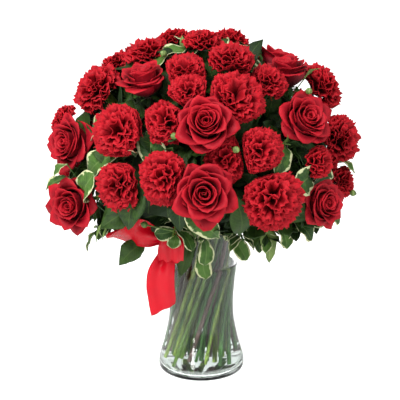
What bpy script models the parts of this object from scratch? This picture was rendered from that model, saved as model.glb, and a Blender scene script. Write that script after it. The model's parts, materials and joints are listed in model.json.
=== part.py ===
"""Roses and carnations in a clear glass vase: a round red bouquet with a leafy collar and a bow.

Everything is in metres with +Z up. The vase stands on the origin and the front of the bouquet,
the side that the bow is on, faces -Y.
"""
import math
import random

import bmesh
import bpy
import numpy as np
from mathutils import Matrix, Quaternion, Vector
from mathutils.bvhtree import BVHTree

# Driving dimensions
GAP = 0.0003                # between pieces that touch
SEED = 11

VASE_HEIGHT = 0.203
GLASS = 0.0042              # wall
FLOOR = 0.008               # thickness of the glass floor
VASE_SIDES = 22
VASE_OUTLINE = (            # radius, height of the outer face
    (0.0540, 0.0000), (0.0570, 0.0040), (0.0562, 0.0150), (0.0492, 0.0380), (0.0432, 0.0680),
    (0.0422, 0.0980), (0.0480, 0.1520), (0.0530, 0.2010))
WATER_TOP = 0.148

DOME = Vector((0.172, 0.172, 0.185))     # half axes of the bouquet, to the middles of the blooms
DOME_MIDDLE = Vector((0, 0, 0.262))

STEM_TOP = 0.152            # the stems are straight up to here
TOP_SPREAD = 0.0350         # they fill a round of this radius there
FOOT_SPREAD = 0.0450        # and of this one at the vase's floor
WAIST_TWIST = math.radians(68)
STEM_FOOT = 0.011
STEM_SPACING = 0.0082       # least distance between two stems at their top

ROSE, CARNATION, MINI = "rose", "carnation", "mini"
STEM_RADIUS = {ROSE: 0.0027, CARNATION: 0.0023, MINI: 0.0018}

# name, kind, bearing and lift of its place on the dome, reach, width in mm,
# bearing and lift that the bloom faces. Bearings run from the front (-Y) towards +X, in degrees.
HEADS = (
    ("rose_01", ROSE, -38, 50, 1.00, 66, -45, 74),
    ("rose_02", ROSE, 2, 33, 1.02, 76, 0, 30),
    ("rose_03", ROSE, 1, 8, 1.04, 78, 0, 14),
    ("rose_04", ROSE, 56, 30, 1.00, 74, 32, 34),
    ("rose_05", ROSE, 74, 50, 1.00, 64, -60, 82),
    ("rose_06", ROSE, -81, 16, 1.00, 74, -44, 14),
    ("rose_07", ROSE, -69, -6, 1.00, 70, -26, 6),
    ("rose_08", ROSE, 59, -3, 1.00, 64, 42, 12),
    ("rose_09", ROSE, 134, 2, 1.00, 72, 125, 10),
    ("rose_10", ROSE, -148, 4, 1.00, 72, -140, 12),
    ("rose_11", ROSE, 172, 32, 1.00, 76, 170, 30),
    ("rose_12", ROSE, 122, 48, 0.98, 68, 125, 50),
    ("carnation_01", CARNATION, 26, 62, 1.00, 62, 24, 76),
    ("carnation_02", CARNATION, -78, 66, 0.96, 60, -60, 80),
    ("carnation_03", CARNATION, -82, 40, 1.00, 67, -60, 40),
    ("carnation_04", CARNATION, -40, 28, 1.00, 71, -34, 26),
    ("carnation_05", CARNATION, -19, 36, 0.92, 60, -15, 40),
    ("carnation_06", CARNATION, -14, 60, 0.95, 57, -12, 66),
    ("carnation_07", CARNATION, -8, 48, 0.97, 53, -6, 48),
    ("carnation_08", CARNATION, 19, 45, 0.97, 74, 12, 38),
    ("carnation_09", CARNATION, 48, 50, 0.97, 53, 44, 56),
    ("carnation_10", CARNATION, 95, 35, 1.09, 67, 74, 36),
    ("carnation_11", CARNATION, 88, 15, 1.06, 69, 56, 12),
    ("carnation_12", CARNATION, 26, 22, 0.97, 60, 20, 20),
    ("carnation_13", CARNATION, 29, 4, 1.00, 76, 20, 8),
    ("carnation_14", CARNATION, 12, 21, 0.89, 57, 10, 26),
    ("carnation_15", CARNATION, -16, 13, 0.96, 64, -20, 10),
    ("carnation_16", CARNATION, -36, 8, 0.98, 62, -40, 4),
    ("carnation_17", CARNATION, 112, -2, 1.02, 64, 108, 6),
    ("carnation_18", CARNATION, 161, 1, 1.00, 69, 158, 8),
    ("carnation_19", CARNATION, -122, -3, 1.00, 67, -118, 4),
    ("carnation_20", CARNATION, 146, 26, 1.00, 69, 145, 28),
    ("carnation_21", CARNATION, -158, 30, 1.00, 69, -158, 32),
    ("carnation_22", CARNATION, -128, 46, 1.00, 69, -125, 48),
    ("carnation_23", CARNATION, -104, -4, 1.00, 64, -100, 4),
    ("carnation_24", CARNATION, -176, 55, 1.00, 64, -176, 58),
    ("carnation_25", CARNATION, -138, 20, 1.00, 58, -138, 24),
    ("carnation_26", CARNATION, -172, 13, 1.00, 58, -170, 18),
    ("carnation_27", CARNATION, 152, 46, 1.00, 58, 152, 48),
    ("mini_carnation_01", MINI, 3, 79, 1.00, 52, 8, 88),
    ("mini_carnation_02", MINI, -102, 50, 1.02, 43, -90, 66),
    ("mini_carnation_03", MINI, 59, 13, 1.00, 47, 50, 12),
    ("mini_carnation_04", MINI, 86, -1, 1.06, 49, 70, 4),
    ("mini_carnation_05", MINI, -95, 20, 1.11, 49, -80, 26),
    ("mini_carnation_06", MINI, -176, -2, 1.00, 49, -176, 6),
    ("mini_carnation_07", MINI, 120, 24, 1.02, 52, 118, 26),
    ("mini_carnation_08", MINI, -118, 20, 1.00, 49, -116, 22),
    ("mini_carnation_09", MINI, -150, 66, 1.00, 52, -150, 70),
    ("mini_carnation_10", MINI, 150, 64, 1.00, 54, 150, 70),
)
ARC_STATIONS = ((0.0, 0.34, 0.70), (0.0, 0.22, 0.60), (0.0, 0.16, 0.55))
CORE_REACH = 0.70           # the bunch of leaves and stems inside the blooms is solid up to here
CORE_FOOT = ((0.0, 0.1940), (0.0425, 0.1960), (0.0440, 0.2070), (0.0740, 0.2235))
CORE_BOTTOM = 0.2400

# Twigs of the leafy collar: bearing, lift and reach of their ends on the dome.
TWIGS = ((-102, -20, 0.92), (-80, -24, 0.84), (-20, -24, 0.66), (-6, -28, 0.58), (10, -26, 0.62), (27, -24, 0.72), (42, -22, 0.80),
         (60, -20, 0.86), (80, -18, 0.92), (102, -20, 0.90), (134, -20, 0.88), (172, -20, 0.86),
         (-168, -22, 0.84), (-140, -20, 0.88))
TWIG_RADIUS = 0.0014
TWIG_STATIONS = (0.0, 0.3, 0.55, 0.8, 1.0)

# Leaves that the photo shows: kind, foot of the blade, its tip and its width, in mm.
PITTO, BROAD, GRASS, PLAIN = "pitto", "broad", "grass", "plain"
SEEN_LEAVES = (
    (PITTO, (-30, -84, 217), (-58, -88, 213), 19),
    (PITTO, (-31, -86, 212), (-36, -95, 196), 18),
    (PITTO, (-21, -83, 216), (-6, -94, 211), 17),
    (PITTO, (-30, -82, 223), (-39, -86, 248), 13),
    (PITTO, (4, -74, 207), (4, -70, 166), 20),
    (PITTO, (2, -60, 190), (6, -57, 143), 21),
    (BROAD, (-10, -64, 203), (-27, -60, 146), 19),
    (PITTO, (38, -66, 206), (57, -72, 173), 21),
    (BROAD, (76, -86, 226), (84, -88, 175), 26),
    (PITTO, (64, -84, 222), (72, -88, 188), 15),
    (PITTO, (92, -84, 224), (106, -90, 194), 23),
    (PITTO, (112, -74, 226), (138, -74, 200), 23),
    (PITTO, (126, -62, 226), (156, -60, 219), 19),
    (PITTO, (148, -52, 232), (176, -40, 214), 21),
    (BROAD, (-76, -84, 250), (-124, -96, 222), 42),
    (BROAD, (-68, -62, 196), (-104, -66, 164), 27),
    (GRASS, (-112, -78, 232), (-130, -88, 201), 5),
    (GRASS, (-106, -76, 230), (-122, -92, 206), 4),
    (PITTO, (-164, -30, 268), (-198, -24, 251), 21),
    (PITTO, (-150, -66, 290), (-172, -62, 268), 20),
    (BROAD, (-18, -44, 418), (-54, -50, 432), 24),
    (GRASS, (-22, -22, 424), (-24, -18, 451), 8),
    (PITTO, (-10, -44, 418), (-3, -48, 440), 13),
    (BROAD, (52, -46, 404), (76, -26, 444), 22),
    (BROAD, (50, -60, 402), (66, -72, 416), 18),
    (PITTO, (164, -16, 292), (196, -12, 270), 22),
    (PITTO, (-78, -118, 318), (-92, -138, 330), 17),
    (GRASS, (126, -30, 394), (146, -38, 410), 9),
    (GRASS, (84, -112, 318), (104, -140, 338), 4),
    (GRASS, (88, -108, 322), (100, -140, 350), 4),
    (BROAD, (104, -92, 322), (120, -116, 330), 20),
)
# Round green buds on side shoots, in mm.
BUDS = ((-70, -92, 226), (-32, -146, 350), (40, -152, 335), (90, -132, 315), (130, -70, 388),
        (-46, -60, 432), (194, -20, 246))
FILL_LEAVES = 46
FILL_SPACING = 0.026

# Height of a bloom's base below its middle, and the length of the green cup below it,
# both as shares of the bloom's half width.
BASE_DEPTH = {ROSE: 0.62, CARNATION: 0.46, MINI: 0.46}
CUP_LENGTH = {ROSE: 0.26, CARNATION: 0.70, MINI: 0.72}
CUP_RADIUS = {ROSE: 0.155, CARNATION: 0.21, MINI: 0.22}


# Helpers
def direction(bearing, lift):
    """Unit vector of a bearing (0 is the front, -Y) and a lift above the level, in degrees."""
    b = math.radians(bearing)
    e = math.radians(lift)
    return Vector((math.cos(e) * math.sin(b), -math.cos(e) * math.cos(b), math.sin(e)))


def dome_point(bearing, lift, reach=1.0):
    """Point of the bouquet's dome at a bearing and lift; reach 1 is the dome itself."""
    d = direction(bearing, lift)
    return DOME_MIDDLE + Vector((d.x * DOME.x, d.y * DOME.y, d.z * DOME.z)) * reach


def turned(v, angle):
    """A flat vector turned about the vertical."""
    return Matrix.Rotation(angle, 3, "Z") @ v


def facing_matrix(place, face, roll):
    """Local Z looks along face, rolled about it, moved to place."""
    turn = face.to_track_quat("Z", "Y").to_matrix().to_4x4()
    return Matrix.Translation(place) @ turn @ Matrix.Rotation(roll, 4, "Z")


def empty_scene():
    for ob in list(bpy.data.objects):
        bpy.data.objects.remove(ob, do_unlink=True)


def make_collection(name):
    coll = bpy.data.collections.new(name)
    bpy.context.scene.collection.children.link(coll)
    return coll


def paint(ob, colour, roughness, metallic=0.0):
    """Give an object its own Principled material."""
    mat = bpy.data.materials.new(ob.name)
    mat.use_nodes = True
    shader = mat.node_tree.nodes["Principled BSDF"]
    shader.inputs["Base Color"].default_value = (*colour, 1.0)
    shader.inputs["Roughness"].default_value = roughness
    shader.inputs["Metallic"].default_value = metallic
    ob.data.materials.clear()
    ob.data.materials.append(mat)


def object_from_bmesh(bm, name, coll, smooth=True):
    bmesh.ops.recalc_face_normals(bm, faces=bm.faces)
    if bm.calc_volume(signed=True) < 0:
        bmesh.ops.reverse_faces(bm, faces=bm.faces)
    mesh = bpy.data.meshes.new(name)
    bm.to_mesh(mesh)
    bm.free()
    for poly in mesh.polygons:
        poly.use_smooth = smooth
    ob = bpy.data.objects.new(name, mesh)
    coll.objects.link(ob)
    return ob


def spun_bmesh(outline, steps):
    """Turn an outline of (radius, height) about Z. Each vertex keeps its ring number."""
    bm = bmesh.new()
    layer = bm.verts.layers.int.new("ring")
    rings = []
    for number, (radius, height) in enumerate(outline):
        count = 1 if radius == 0 else steps
        turns = [math.tau * k / steps for k in range(count)]
        ring = [bm.verts.new((radius * math.cos(t), radius * math.sin(t), height)) for t in turns]
        for v in ring:
            v[layer] = number
        rings.append(ring)
    for low, high in zip(rings, rings[1:]):
        for k in range(steps):
            n = (k + 1) % steps
            if len(low) > 1:
                bm.faces.new((low[k], low[n], high[n % len(high)]))
            if len(high) > 1:
                bm.faces.new((low[k % len(low)], high[n], high[k]))
    return bm, layer


def tube(points, radii, coll, name, profile):
    """A solid tube along points, as a bevelled curve with capped ends, turned to a mesh."""
    curve = bpy.data.curves.new(name, "CURVE")
    curve.dimensions = "3D"
    curve.bevel_mode = "OBJECT"
    curve.bevel_object = profile
    curve.use_fill_caps = True
    spline = curve.splines.new("POLY")
    spline.points.add(len(points) - 1)
    for knot, place, radius in zip(spline.points, points, radii):
        knot.co = (*place, 1.0)
        knot.radius = radius
    ob = bpy.data.objects.new(name, curve)
    coll.objects.link(ob)
    bpy.context.view_layer.update()
    mesh = bpy.data.meshes.new_from_object(ob.evaluated_get(
        bpy.context.evaluated_depsgraph_get()))
    bpy.data.objects.remove(ob)
    bm = bmesh.new()
    bm.from_mesh(mesh)
    bmesh.ops.remove_doubles(bm, verts=bm.verts, dist=0.00002)
    bpy.data.meshes.remove(mesh)
    return object_from_bmesh(bm, name, coll)


def ring_profile(sides, coll):
    """A closed many-sided loop of radius 1, which gives tubes their section."""
    curve = bpy.data.curves.new("section_%d" % sides, "CURVE")
    curve.dimensions = "2D"
    spline = curve.splines.new("POLY")
    spline.points.add(sides - 1)
    for k, knot in enumerate(spline.points):
        angle = math.tau * k / sides
        knot.co = (math.cos(angle), math.sin(angle), 0, 1)
    spline.use_cyclic_u = True
    ob = bpy.data.objects.new(curve.name, curve)
    coll.objects.link(ob)
    return ob


def bezier(p0, p1, p2, p3, t):
    s = 1 - t
    return p0 * s**3 + p1 * 3 * s * s * t + p2 * 3 * s * t * t + p3 * t**3


def join_all(pieces, name, coll, spare, solver="EXACT"):
    """One body from overlapping pieces: a union with all the others as a collection."""
    first = pieces[0]
    rest = bpy.data.collections.new("joined_" + name)
    bpy.context.scene.collection.children.link(rest)
    for ob in pieces[1:]:
        spare.objects.unlink(ob)
        rest.objects.link(ob)
    if len(pieces) > 1:
        union = first.modifiers.new("join", "BOOLEAN")
        union.operation = "UNION"
        union.operand_type = "COLLECTION"
        union.collection = rest
        union.solver = solver
        bpy.context.view_layer.update()
        mesh = bpy.data.meshes.new_from_object(first.evaluated_get(
            bpy.context.evaluated_depsgraph_get()))
        first.modifiers.clear()
        first.data = mesh
    for ob in list(rest.objects):
        bpy.data.objects.remove(ob)
    bpy.data.collections.remove(rest)
    clean_up(first)
    spare.objects.unlink(first)
    coll.objects.link(first)
    first.name = name
    first.data.name = name
    return first


def clean_up(ob):
    """Take out the folded slivers, two faces back to back, that a union leaves here and there."""
    bm = bmesh.new()
    bm.from_mesh(ob.data)
    bmesh.ops.triangulate(bm, faces=bm.faces)
    bmesh.ops.remove_doubles(bm, verts=bm.verts, dist=0.000002)
    bmesh.ops.dissolve_degenerate(bm, dist=0.000005, edges=bm.edges)
    bmesh.ops.triangulate(bm, faces=bm.faces)
    first = {}
    folded = []
    for face in bm.faces:
        corners = frozenset(v.index for v in face.verts)
        if corners in first:
            folded += [face, first.pop(corners)]
        else:
            first[corners] = face
    bmesh.ops.delete(bm, geom=folded, context="FACES_ONLY")
    bmesh.ops.delete(bm, geom=[e for e in bm.edges if e.is_wire], context="EDGES")
    bmesh.ops.delete(bm, geom=[v for v in bm.verts if not v.link_edges], context="VERTS")
    bm.to_mesh(ob.data)
    bm.free()


# Vase and water
def inner_outline():
    """Inner face of the vase, from the middle of the floor to the lip."""
    points = [(0.0, FLOOR), (VASE_OUTLINE[2][0] - GLASS - 0.003, FLOOR)]
    for radius, height in VASE_OUTLINE[2:]:
        points.append((radius - GLASS, height))
    return points


def make_vase(coll):
    inside = inner_outline()
    lip = [(VASE_OUTLINE[-1][0] - GLASS / 2, VASE_HEIGHT)]
    outline = [(0.0, 0.0)] + list(VASE_OUTLINE) + lip + inside[::-1]
    bm, _ = spun_bmesh(outline, VASE_SIDES)
    ob = object_from_bmesh(bm, "vase", coll)
    paint(ob, (0.80, 0.86, 0.84), 0.05)
    return ob


def wall_radius(height):
    """Inner radius of the glass at a height."""
    heights = [p[1] for p in VASE_OUTLINE]
    radii = [p[0] - GLASS for p in VASE_OUTLINE]
    return float(np.interp(height, heights, radii))


def make_water(routes, coll, spare, profile):
    """The water, with a plain hole for each stem that stands in it."""
    outline = [(0.0, FLOOR + GAP), (inner_outline()[1][0] - GAP, FLOOR + GAP)]
    for radius, height in VASE_OUTLINE[2:]:
        if height < WATER_TOP:
            outline.append((radius - GLASS - GAP, height))
    outline.append((wall_radius(WATER_TOP) - GAP, WATER_TOP))
    outline.append((0.0, WATER_TOP))
    bm, _ = spun_bmesh(outline, VASE_SIDES)
    water = object_from_bmesh(bm, "water", spare)
    holes = bpy.data.collections.new("stem_holes")
    bpy.context.scene.collection.children.link(holes)
    for number, route in enumerate(routes):
        foot = route["foot"]
        radius = route["radius"]
        along = (route["top"] - foot).normalized()
        start = foot - along * GAP * 1.5
        end = foot + along * ((WATER_TOP + 0.006 - foot.z) / along.z)
        hole = tube([start, end], [radius + GAP * 1.4] * 2, spare, "hole_%02d" % number, profile)
        spare.objects.unlink(hole)
        holes.objects.link(hole)
        hole.hide_render = True
        hole.display_type = "WIRE"
    cut = water.modifiers.new("holes", "BOOLEAN")
    cut.operation = "DIFFERENCE"
    cut.operand_type = "COLLECTION"
    cut.collection = holes
    cut.solver = "EXACT"
    bpy.context.view_layer.update()
    mesh = bpy.data.meshes.new_from_object(water.evaluated_get(
        bpy.context.evaluated_depsgraph_get()))
    water.modifiers.clear()
    water.data = mesh
    for ob in list(holes.objects):
        bpy.data.objects.remove(ob)
    bpy.data.collections.remove(holes)
    spare.objects.unlink(water)
    coll.objects.link(water)
    paint(water, (0.75, 0.85, 0.82), 0.03)
    return water


# Blooms
def bloom_places():
    """Middle, facing, half width and kind of every head."""
    places = {}
    for name, kind, bearing, lift, reach, width, face_bearing, face_lift in HEADS:
        places[name] = dict(kind=kind, middle=dome_point(bearing, lift, reach),
                            face=direction(face_bearing, face_lift), half=width / 2000,
                            bearing=bearing, lift=lift)
    return places


def pressed(point, name, places):
    """Petals give way where two blooms press on each other: nothing passes the middle plane."""
    me = places[name]
    margin = 0.30 * me["half"]
    for other, it in places.items():
        if other == name:
            continue
        apart = it["middle"] - me["middle"]
        distance = apart.length
        if distance > (me["half"] + it["half"]) * 1.12:
            continue
        way = apart / distance
        plane = distance * me["half"] / (me["half"] + it["half"]) - GAP
        past = (point - me["middle"]).dot(way) - (plane - margin)
        if past > 0:
            point = point - way * (past - margin * (1 - math.exp(-past / margin)))
    return point


def bloom(name, places, outline, steps, shape, coll, colour):
    """A turned head whose rings are raised by a formula into petals, then pressed."""
    me = places[name]
    bm, ring = spun_bmesh(outline, steps)
    matrix = facing_matrix(me["middle"], me["face"], 0.7 * len(name) + me["bearing"] * 0.05)
    for v in bm.verts:
        radius = math.hypot(v.co.x, v.co.y)
        angle = math.atan2(v.co.y, v.co.x) % math.tau
        r, a, z = shape(v[ring], radius, angle, v.co.z)
        local = Vector((r * math.cos(a), r * math.sin(a), z)) * me["half"]
        v.co = pressed(matrix @ local, name, places)
    ob = object_from_bmesh(bm, name, coll)
    paint(ob, colour, 0.6)
    return ob


ROSE_OUTLINE = (            # radius and height in half widths: petal tips and the valleys between
    (0.00, -0.62), (0.44, -0.54), (0.76, -0.24), (0.92, 0.06), (1.00, 0.20), (0.78, 0.10),
    (0.74, 0.42), (0.54, 0.24), (0.47, 0.56), (0.31, 0.36), (0.22, 0.62), (0.00, 0.44))
ROSE_PETALS = {3: 4, 4: 4, 5: 4, 6: 3, 7: 3, 8: 3, 9: 3, 10: 3}
ROSE_STEPS = 12


def rose_shape(seed):
    draw = random.Random(seed)
    phases = [draw.random() for _ in ROSE_OUTLINE]

    def shape(number, radius, angle, height):
        if number not in ROSE_PETALS or radius < 0.05:
            return radius, angle, height
        along = (angle / math.tau * ROSE_PETALS[number] + phases[(number // 2) * 2]) % 1.0
        rim = number in (4, 6, 8, 10)
        radius += 0.085 * radius * (along - 0.5) * (1.4 if rim else 0.9)
        height += (0.13 * math.sin(math.pi * along) - 0.07) * (1.0 if rim else 0.2)
        return radius, angle, height
    return shape


CARNATION_OUTLINE = (
    (0.00, -0.46), (0.46, -0.42), (1.05, -0.08), (0.84, 0.04), (0.93, 0.36), (0.52, 0.30),
    (0.46, 0.64), (0.00, 0.48))
CARNATION_STEPS = 11
MINI_OUTLINE = (
    (0.00, -0.46), (0.42, -0.40), (1.04, 0.00), (0.74, 0.10), (0.72, 0.48), (0.28, 0.38),
    (0.00, 0.54))
MINI_STEPS = 8


def frilled_shape(seed, outline, steps):
    """Every vertex of a rim stands out by its own amount, as torn petal edges do."""
    draw = random.Random(seed)
    out = [[draw.uniform(-0.15, 0.04) for _ in range(steps)] for _ in outline]
    lift = [[draw.uniform(-0.07, 0.07) for _ in range(steps)] for _ in outline]

    def shape(number, radius, angle, height):
        if number < 2 or radius < 0.05:
            return radius, angle, height
        step = round(angle / math.tau * steps) % steps
        share = 1.0 if number % 2 == 0 else 0.4
        radius *= 1.0 + out[number][step] * share
        return radius, angle, height + lift[number][step] * share
    return shape


def make_blooms(places, coll):
    made = []
    for number, name in enumerate(places):
        kind = places[name]["kind"]
        if kind == ROSE:
            outline, steps, colour = ROSE_OUTLINE, ROSE_STEPS, (0.36, 0.006, 0.018)
            shape = rose_shape(SEED + number)
        elif kind == CARNATION:
            outline, steps, colour = CARNATION_OUTLINE, CARNATION_STEPS, (0.62, 0.010, 0.022)
            shape = frilled_shape(SEED + number, outline, steps)
        else:
            outline, steps, colour = MINI_OUTLINE, MINI_STEPS, (0.66, 0.012, 0.024)
            shape = frilled_shape(SEED + number, outline, steps)
        made.append(bloom(name, places, outline, steps, shape, coll, colour))
    return made


# Stems
def ring_point(radius, angle, height):
    """Point at a bearing from the front, in radians."""
    return Vector((radius * math.sin(angle), -radius * math.cos(angle), height))


def stem_routes(places):
    """Straight lines in the vase, fanned out above and below its waist, for every stem.

    High blooms stand in the middle and low ones at the edge. The round of stems is spread out
    evenly at its top and turned about the axis towards its foot.
    """
    names = list(places)
    order = sorted(range(len(names)), key=lambda k: -places[names[k]]["lift"])
    flat = np.zeros((len(names), 2))
    for rank, k in enumerate(order):
        far = TOP_SPREAD * math.sqrt((rank + 0.5) / len(names))
        at = ring_point(far, math.radians(places[names[k]]["bearing"] - 12), 0)
        flat[k] = at.x, at.y
    flat = spread_out(flat)
    routes = {}
    for k, name in enumerate(names):
        top = Vector((flat[k][0], flat[k][1], STEM_TOP))
        foot = turned(top, -WAIST_TWIST) * (FOOT_SPREAD / TOP_SPREAD)
        foot.z = STEM_FOOT + 0.0012 * (k % 4)
        routes[name] = dict(foot=foot, top=top, radius=STEM_RADIUS[places[name]["kind"]])
    return routes


def spread_out(flat):
    """Push points of the round apart until none is nearer than the spacing to another."""
    for _ in range(400):
        apart = flat[:, None] - flat[None]
        distance = np.linalg.norm(apart, axis=2) + np.eye(len(flat))
        push = np.clip(STEM_SPACING - distance, 0, None) * (1 - np.eye(len(flat)))
        flat = flat + 0.25 * (apart / distance[:, :, None] * push[:, :, None]).sum(axis=1)
        far = np.linalg.norm(flat, axis=1)
        flat *= np.minimum(1, TOP_SPREAD / far)[:, None]
    return flat


def arc_points(me, route):
    """From the top of the straight part to the bloom's cup, raised until it clears the lip."""
    half = me["half"]
    cup_top = me["middle"] - me["face"] * (half * BASE_DEPTH[me["kind"]] + GAP * 1.5)
    cup_foot = cup_top - me["face"] * half * CUP_LENGTH[me["kind"]]
    start = route["top"]
    along = (route["top"] - route["foot"]).normalized()
    reach = (cup_foot - start).length
    for raise_by in range(26):
        rise = along * (1 - 0.05 * raise_by) + Vector((0, 0, 0.05 * raise_by))
        bend = (0.40 + 0.03 * raise_by) * reach
        controls = (start, start + rise * bend, cup_foot - me["face"] * 0.28 * reach, cup_foot)
        for stations in ARC_STATIONS:
            points = [bezier(*controls, t) for t in stations]
            if clears_lip(points + [cup_foot], route["radius"]):
                return points, cup_foot, cup_top
    print("a stem touches the lip")
    return points, cup_foot, cup_top


def clears_lip(points, radius):
    """True if a stem passes over the lip without touching the glass on either side."""
    room = radius + 0.0010
    for a, b in zip(points, points[1:]):
        for k in range(8):
            at = a.lerp(b, k / 8)
            far = math.hypot(at.x, at.y)
            inner = wall_radius(at.z)
            if at.z < VASE_HEIGHT + room and inner - room < far < inner + GLASS + room:
                return False
    return True


def stem_tube(name, me, route, spare, profile):
    """Foot, straight part, arc and the swollen green cup under the petals."""
    thick = route["radius"]
    half = me["half"]
    kind = me["kind"]
    points, cup_foot, cup_top = arc_points(me, route)
    cup = CUP_RADIUS[kind] * half
    length = (cup_top - cup_foot).length
    path = [route["foot"]] + points + [cup_foot]
    radii = [thick] * len(path)
    if kind == ROSE:
        path.append(cup_foot + me["face"] * length * 0.35)
        radii.append(cup * 0.95)
    path.append(cup_top)
    radii.append(cup)
    return tube(path, radii, spare, "stem_" + name, profile)


def sepals(name, me, reach, spare):
    """The star of five green leaves that spread under a rose, their tips bent down."""
    half = me["half"]
    matrix = facing_matrix(me["middle"], me["face"], 0.4)
    height = -(BASE_DEPTH[ROSE] * half + GAP * 1.5) - 0.0006
    bm = bmesh.new()
    faces = []
    for top in (height, height - 0.0010):
        rim = []
        for k in range(10):
            turn = math.tau * k / 10
            far, drop = (reach * half, 0.0075) if k % 2 == 0 else (0.17 * half, 0.0)
            rim.append(bm.verts.new((far * math.cos(turn), far * math.sin(turn), top - drop)))
        faces.append(rim)
    upper, lower = faces
    hub = [bm.verts.new((0, 0, z)) for z in (height, height - 0.0010)]
    for k in range(10):
        n = (k + 1) % 10
        bm.faces.new((hub[0], upper[k], upper[n]))
        bm.faces.new((hub[1], lower[n], lower[k]))
        bm.faces.new((upper[k], lower[k], lower[n]))
        bm.faces.new((upper[k], lower[n], upper[n]))
    for v in bm.verts:
        v.co = matrix @ v.co
    return object_from_bmesh(bm, "sepals_" + name, spare, smooth=False)


def clear_sepals(name, me, trees, spare):
    """The star of sepals, made smaller where a neighbouring bloom is in its way."""
    for reach in (0.70, 0.60, 0.50, 0.40, 0.30):
        star = sepals(name, me, reach, spare)
        if reach == 0.30 or clear_of(star, trees, 0.0001):
            return star
        bpy.data.objects.remove(star)


def blade(spine, half_widths, across, thick, name, spare, wave=0.0, cuts=0.0):
    """A closed blade with two edges along a spine; the last pair meets in a point.

    wave lifts one edge and drops the other by turns, cuts widens and narrows it by turns.
    """
    bm = bmesh.new()
    upper, lower = [], []
    count = len(spine)
    for number, (place, wide) in enumerate(zip(spine, half_widths)):
        ahead = spine[min(number + 1, count - 1)] - spine[max(number - 1, 0)]
        up = across.cross(ahead).normalized()
        turn = 1 if number % 2 else -1
        if number in (0, count - 1):
            turn = 0
        wide *= 1 + cuts * turn
        ends = (0,) if number == count - 1 else (-1, 1)
        row = [place + across * wide * s + up * wave * turn * s for s in ends]
        upper.append([bm.verts.new(at + up * thick / 2) for at in row])
        lower.append([bm.verts.new(at - up * thick / 2) for at in row])
    for rows in (upper, lower):
        for a, b in zip(rows, rows[1:]):
            bm.faces.new((a[0], a[1], b[0]))
            if len(b) == 2:
                bm.faces.new((a[1], b[1], b[0]))
    for s in (0, -1):
        for k in range(count - 1):
            a, b, c, d = upper[k][s], upper[k + 1][s], lower[k + 1][s], lower[k][s]
            bm.faces.new((a, b, c))
            bm.faces.new((a, c, d))
    a, b, c, d = upper[0][0], upper[0][1], lower[0][1], lower[0][0]
    bm.faces.new((a, b, c))
    bm.faces.new((a, c, d))
    return object_from_bmesh(bm, name, spare, smooth=False)


# The bunch inside the blooms
CORE_STEPS = 16
CORE_RINGS = 7


def make_core(spare):
    """Packed leaves and stems inside the blooms: a rough round body that leaves stand out of."""
    draw = random.Random(SEED + 2)
    low = math.degrees(math.asin((CORE_BOTTOM - DOME_MIDDLE.z) / (DOME.z * CORE_REACH)))
    outline = list(CORE_FOOT)
    for k in range(CORE_RINGS):
        at = dome_point(90, low + (88 - low) * k / CORE_RINGS, CORE_REACH)
        outline.append((at.x, at.z))
    outline.append((0.0, DOME_MIDDLE.z + DOME.z * CORE_REACH))
    bm, ring = spun_bmesh(outline, CORE_STEPS)
    for v in bm.verts:
        if v[ring] < len(CORE_FOOT):
            continue
        out = v.co - DOME_MIDDLE
        size = 1.0 + draw.uniform(-0.09, 0.07)
        v.co = DOME_MIDDLE + Vector((out.x * size, out.y * size, out.z * (size if out.z > 0
                                                                          else 1)))
    return object_from_bmesh(bm, "core", spare, smooth=False)


# Ribbon and its wire
KNOT = Vector((-0.027, -0.063, 0.207))
RIBBON_THICK = 0.0008


def v_mm(x, y, z):
    return Vector((x, y, z)) / 1000


def strip(stations, name, spare):
    """A closed band: each station has its middle, the way across and the half width, in mm."""
    bm = bmesh.new()
    rows = []
    count = len(stations)
    middles = [v_mm(*st[0]) for st in stations]
    for k, (place, across, half) in enumerate(stations):
        ahead = (middles[min(k + 1, count - 1)] - middles[max(k - 1, 0)]).normalized()
        side = Vector(across).normalized()
        up = side.cross(ahead).normalized() * RIBBON_THICK / 2
        side = side * half / 1000
        rows.append([bm.verts.new(middles[k] + side * a + up * b)
                     for a, b in ((-1, 1), (1, 1), (1, -1), (-1, -1))])
    for a, b in zip(rows, rows[1:]):
        for k in range(4):
            n = (k + 1) % 4
            # both faces of the band are split along the same diagonal
            if k == 2:
                bm.faces.new((a[k], a[n], b[k]))
                bm.faces.new((a[n], b[n], b[k]))
            else:
                bm.faces.new((a[k], a[n], b[n]))
                bm.faces.new((a[k], b[n], b[k]))
    for row in (rows[0], rows[-1]):
        bm.faces.new((row[0], row[1], row[2]))
        bm.faces.new((row[0], row[2], row[3]))
    return object_from_bmesh(bm, name, spare, smooth=False)


FRONT_LOOP = (              # middle, way across, half width, in mm
    ((-27, -65, 208), (1, 0, 0.1), 6), ((-29, -74, 215), (1, 0, 0), 10),
    ((-33, -84, 210), (1, 0, 0), 14), ((-35.5, -89, 198), (1, 0, 0), 16.5),
    ((-36, -88, 184), (1, 0, 0), 17), ((-36, -83, 176), (1, 0, 0), 17),
    ((-35, -77, 176), (1, 0, 0), 16), ((-33, -73, 186), (1, 0, 0), 13),
    ((-28, -67, 203), (1, 0, 0), 7))
LEFT_LOOP = (
    ((-26, -64, 206), (0, 0, 1), 6), ((-42, -70, 196), (0, -0.1, 1), 8),
    ((-58, -73, 198), (0, -0.15, 1), 13), ((-74, -73, 204), (0, -0.2, 1), 18),
    ((-90, -69, 205), (0, -0.45, 0.9), 18), ((-106, -62, 200), (0, -0.85, 0.5), 16),
    ((-118, -55, 199), (0, -1, 0.1), 14), ((-118, -53, 203), (0, -1, 0.1), 14),
    ((-106, -50, 208), (0, -0.85, 0.5), 15), ((-88, -46, 209), (0, -0.4, 0.9), 16),
    ((-66, -50, 206), (0, -0.15, 1), 13), ((-46, -57, 205), (0, -0.1, 1), 9),
    ((-26, -63, 206), (0, 0, 1), 6))
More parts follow.
